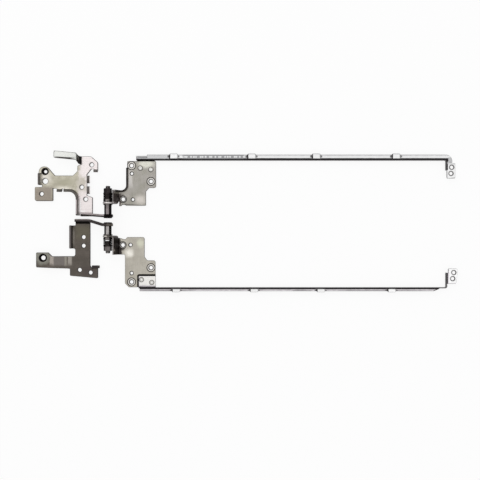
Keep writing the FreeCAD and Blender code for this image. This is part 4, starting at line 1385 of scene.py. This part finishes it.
LEFT_LID = MetalFinish(
    name="left_lid_nickel",
    main=tone(172, 168, 162),
    second=tone(161, 158, 149),
    cut=tone(34, 30, 29),
    rim=tone(52, 47, 45),
    shine=tone(214, 208, 206),
    grain_turn=90.0,
    marks=(
        # Painted light: the cream patches and the paler strip are painted reflections, and the
        # dark patches on the sloping arm painted shade
        Mark(SPOT, (-71.2, 41.4), (8.0, 4.2), tone(222, 221, 209), 0.95, 0.7),
        Mark(SPOT, (-75.4, 15.6), (6.5, 5.5), tone(218, 212, 205), 0.85, 0.9),
        Mark(BAR, (-82.6, 31.2), (2.2, 9.0), tone(206, 202, 198), 0.9, 0.8),
        Mark(BAR, (-93.0, 15.4), (4.0, 5.1), tone(92, 84, 83), 1.0, 0.22),
        Mark(SPOT, (-88.8, 17.2), (3.0, 3.6), tone(74, 68, 66), 0.9, 0.7),
        *seat_marks(((-81.8, 40.1), (-67.9, 28.8))),
        *seat_marks(((-87.8, 16.0),), 2.3),
        *hole_marks(((-81.6, 34.4), (-80.8, 15.8)), 1.25, 0.9),
        *hole_marks(((-75.5, 38.3), (-68.0, 37.3)), 1.6),
    ),
)
RIGHT_LID = MetalFinish(
    name="right_lid_nickel",
    main=tone(192, 187, 176),
    second=tone(181, 176, 165),
    cut=tone(38, 34, 32),
    rim=tone(62, 57, 54),
    shine=tone(226, 219, 216),
    grain_turn=90.0,
    marks=(
        # Painted light: the whitish and yellowish patches are painted reflections, the dark
        # lip a painted highlight
        # patches on the arm and beside its seat painted shade, and the pale spot on the arm's
        Mark(SPOT, (-83.4, -22.6), (4.8, 4.4), tone(250, 246, 237), 0.95, 0.9),
        Mark(SPOT, (-75.4, -15.4), (3.8, 4.6), tone(217, 217, 198), 0.85, 0.8),
        Mark(BAR, (-93.0, -17.3), (4.4, 9.5), tone(60, 55, 54), 1.0, 0.3, 8.0, 0.6),
        Mark(SPOT, (-93.2, -13.6), (3.2, 2.2), BLACK, 0.95, 0.6),
        Mark(SPOT, (-93.4, -19.8), (0.7, 2.0), tone(190, 184, 178), 0.85, 0.8, 25.0),
        Mark(SPOT, (-88.9, -17.4), (3.8, 4.0), SHADE_BROWN, 0.9, 0.4),
        *seat_marks(((-67.9, -32.9), (-81.8, -43.1))),
        *seat_marks(((-88.0, -16.7),), 2.3),
        *hole_marks(((-82.5, -16.6), (-81.7, -36.8)), 1.25, 0.9),
    ),
)


def rail_finish(
    hand: Hand, flange: tuple[Colour, Colour], strip: Point, band: float, marks: Sequence[Mark]
) -> MetalFinish:
    """Gives a screen rail's finish: a bright flange with a strip of painted shade along its bend.

    Args:
        hand: The hinge it belongs to.
        flange: The flange's two colours.
        strip: The middle of the strip of painted shade along Y and half its width, in millimetres.
        band: How much a white band of painted highlight shows beside the strip.
        marks: Its other marks.

    Returns:
        The finish.
    """
    shade = tone(46, 43, 45)
    middle, reach, beside = 36.0, 250.0, 1.9 * hand.out
    return MetalFinish(
        name=hand.value + "_rail_zinc",
        main=flange[0],
        second=flange[1],
        cut=tone(120, 118, 118),
        rim=tone(112, 110, 111),
        stain=shade,
        cloud=2.6,
        grain=(6.0, 0.3),
        rough=0.3,
        marks=(
            # A band of painted highlight beside a strip of painted shade along the bend
            Mark(BAR, (middle, strip[0] + beside), (reach, 0.9), WHITE, band, 0.5, ragged=0.2),
            Mark(BAR, (middle, strip[0]), (reach, strip[1]), shade, 1.0, 0.35, ragged=0.2),
            *marks,
        ),
    )


def bump_marks(bumps: Sequence[float], line: float) -> tuple[Mark, ...]:
    """Gives the painted highlights on a rail's bumps and the painted shadows at their ends.

    Args:
        bumps: Where they stand along X, in millimetres.
        line: Where their middles stand along Y, in millimetres.

    Returns:
        The marks.
    """
    top, start, end, reach = (3.6, 1.7), (1.1, 1.5), (0.9, 1.2), 3.7
    marks: list[Mark] = []
    for bump in bumps:
        marks.append(Mark(BAR, (bump, line), top, WHITE, 1.0, 0.3))
        marks.append(Mark(SPOT, (bump - reach, line), start, SHADE_BROWN, 0.85, 0.7))
        marks.append(Mark(SPOT, (bump + reach, line), end, SHADE_BROWN, 0.8, 0.7))
    return tuple(marks)


def bead_marks(first: float, pitch: float, count: int, line: float) -> tuple[Mark, ...]:
    """Gives a row of small white spots that aren't quite evenly spaced.

    Args:
        first: Where the first spot stands along X, in millimetres.
        pitch: Their mean distance in millimetres.
        count: How many there are.
        line: Where they stand along Y, in millimetres.

    Returns:
        The marks.
    """
    sway, beat, size = 0.6, 2.3, (1.0, 0.9)
    places = [first + pitch * step + sway * math.sin(beat * step) for step in range(count)]
    return tuple(Mark(SPOT, (place, line), size, WHITE, 0.9) for place in places)


LEFT_RAIL = rail_finish(
    Hand.LEFT,
    (tone(226, 226, 227), tone(212, 212, 213)),
    (44.1, 1.35),
    0.85,
    (
        Mark(BAR, (-66.0, 46.3), (14.0, 1.8), tone(196, 196, 197), 0.8, 0.3),
        Mark(BAR, (-23.2, 46.3), (24.2, 1.8), tone(144, 144, 146), 0.85, 0.15),
        *bead_marks(-46.0, 2.2, 21, 46.1),
        # Painted light: the bumps' white tops are painted highlights, and their dark ends, the
        # dark line at the ear's corner and the rings round the ear's holes painted shade
        *bump_marks((-51.5, 4.1, 50.1, 107.0), 46.4),
        Mark(BAR, (-72.0, 37.4), (6.0, 5.4), tone(180, 178, 174), 0.8, 0.3),
        Mark(BAR, (146.4, 43.6), (2.5, 2.4), tone(196, 196, 197), 1.0, 0.2),
        Mark(BAR, (146.2, 42.0), (1.6, 0.45), SHADE_BROWN, 0.9, 0.5, ragged=0.1),
        Mark(BAR, (146.6, 35.0), (3.2, 6.2), tone(248, 248, 248), 1.0, 0.2),
        *hole_marks(((146.6, 38.7), (146.1, 34.3)), 1.6, 0.85),
    ),
)
RIGHT_RAIL = rail_finish(
    Hand.RIGHT,
    (tone(218, 213, 217), tone(192, 187, 191)),
    (-47.3, 1.15),
    0.2,
    (
        # Painted shade: the dark lines along the flange's outer edge, its slanted dark end, the
        # bumps' dark ends and the rings round the holes; the bumps' white tops are painted
        # highlights
        Mark(BAR, (36.0, -49.75), (250.0, 0.4), tone(138, 134, 137), 0.9, 0.5, ragged=0.3),
        Mark(BAR, (-57.0, -49.5), (21.0, 0.6), tone(104, 101, 103), 0.95, 0.4, ragged=0.3),
        Mark(BAR, (40.0, -49.5), (8.5, 0.6), tone(104, 101, 103), 0.95, 0.4, ragged=0.3),
        Mark(BAR, (97.0, -49.5), (39.0, 0.6), tone(112, 109, 112), 0.95, 0.4, ragged=0.3),
        Mark(BAR, (135.7, -48.75), (2.7, 0.75), SHADE_BROWN, 1.0, 0.4, 24.0, 0.2),
        *bump_marks((-49.8, 5.7, 53.3, 103.8), -49.4),
        Mark(BAR, (-70.5, -42.0), (6.4, 3.9), tone(246, 244, 240), 1.0, 0.2),
        *hole_marks(((-74.7, -41.5), (-67.3, -43.5)), 1.55, 0.9),
        Mark(BAR, (147.8, -38.2), (3.6, 6.2), tone(246, 246, 246), 1.0, 0.2),
        *hole_marks(((148.1, -36.3), (147.3, -40.6)), 1.6, 0.85),
    ),
)
# The shafts' darkest colour is the painted shade on their sides, below their bright tops
LEFT_SHAFT = MetalFinish(
    name="left_shaft_steel",
    main=tone(146, 138, 138),
    second=tone(122, 115, 115),
    rim=tone(110, 104, 102),
    stain=tone(16, 12, 14),
    rough=0.3,
    grain=(0.2, 6.0),
)
RIGHT_SHAFT = MetalFinish(
    name="right_shaft_steel",
    main=tone(188, 184, 182),
    second=tone(150, 146, 144),
    rim=tone(120, 114, 112),
    stain=tone(14, 12, 12),
    rough=0.28,
    cloud=1.6,
    grain=(0.2, 6.0),
)
DARK = MetalFinish(
    name="washer_black",
    main=tone(52, 46, 45),
    second=tone(40, 35, 35),
    rim=tone(74, 68, 66),
    rough=0.34,
)
LEFT_SPRING = MetalFinish(
    name="left_spring_black",
    main=tone(50, 45, 44),
    second=tone(38, 34, 33),
    rim=tone(44, 40, 39),
    rough=0.4,
)
RIGHT_SPRING = replace(
    LEFT_SPRING,
    name="right_spring_black",
    # The white bar is a painted highlight across the springs
    marks=(Mark(BAR, (-97.7, -13.4), (9.0, 0.5), WHITE, 1.0, 0.3, ragged=0.1),),
)
GREY = MetalFinish(
    name="washer_grey",
    main=tone(128, 122, 119),
    second=tone(96, 91, 89),
    rim=tone(140, 134, 131),
    rough=0.34,
    cloud=1.2,
)


def nut_marks(line: float) -> tuple[Mark, ...]:
    """Gives a nut's sides painted shade.

    Args:
        line: Where the nut's middle stands along Y, in millimetres.

    Returns:
        The marks.
    """
    shaft, side, size = -97.68, 2.5, (1.0, 4.0)
    places = ((shaft - side, line), (shaft + side, line))
    return tuple(Mark(BAR, place, size, BLACK, 0.9, 0.6, ragged=0.2) for place in places)


LEFT_NUT = MetalFinish(
    name="left_nut_black",
    main=tone(64, 59, 59),
    second=tone(54, 49, 49),
    rim=tone(80, 75, 74),
    rough=0.36,
    marks=nut_marks(22.8),
)
RIGHT_NUT = MetalFinish(
    name="right_nut_grey",
    main=tone(128, 121, 119),
    second=tone(110, 104, 102),
    rim=tone(96, 90, 89),
    rough=0.45,
    metal=0.5,
    marks=nut_marks(-19.4),
)
EYELET = MetalFinish(
    name="eyelet_tin",
    main=tone(222, 220, 214),
    second=tone(204, 202, 196),
    cut=tone(70, 65, 62),
    rim=tone(150, 147, 143),
    rough=0.28,
)


@dataclass
class HingePair:
    """Both hinges of the pair, piece by piece.

    Args:
        nodes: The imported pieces.
    """

    nodes: Nodes

    def build(self) -> list[bpy.types.Object]:
        """Makes every piece of both hinges.

        Returns:
            The finished pieces.
        """
        made: list[bpy.types.Object] = []
        for hand in Hand:
            left = hand is Hand.LEFT
            stack = {
                "hinge_shaft": LEFT_SHAFT if left else RIGHT_SHAFT,
                "thrust_washer": GREY,
                "inner_friction_washer": GREY,
                "outer_friction_washer": GREY,
                "keyed_washer": GREY,
                "disc_springs": LEFT_SPRING if left else RIGHT_SPRING,
                "pressure_washer": DARK,
                "lock_nut": LEFT_NUT if left else RIGHT_NUT,
            }
            made.append(BaseBracket(hand, LEFT_BASE if left else RIGHT_BASE).build(self.nodes))
            made += FrictionStack(hand, stack).build(self.nodes)
            made.append(LidBracket(hand, LEFT_LID if left else RIGHT_LID).build(self.nodes))
            made.append(ScreenRail(hand, LEFT_RAIL if left else RIGHT_RAIL).build(self.nodes))
            made.append(RailEyelets(hand, EYELET).build(self.nodes))
        return made


def main() -> None:
    """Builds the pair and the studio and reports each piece."""
    logging.basicConfig(level=logging.INFO, format="%(name)s: %(message)s")
    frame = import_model()
    bpy.ops.object.select_all(action="DESELECT")
    for made in HingePair(frame["nodes"]).build():
        LOG.info("%s: %d faces", made.name, len(made.data.polygons))
    Studio().build()
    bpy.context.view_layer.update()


if __name__ == "__main__":
    main()
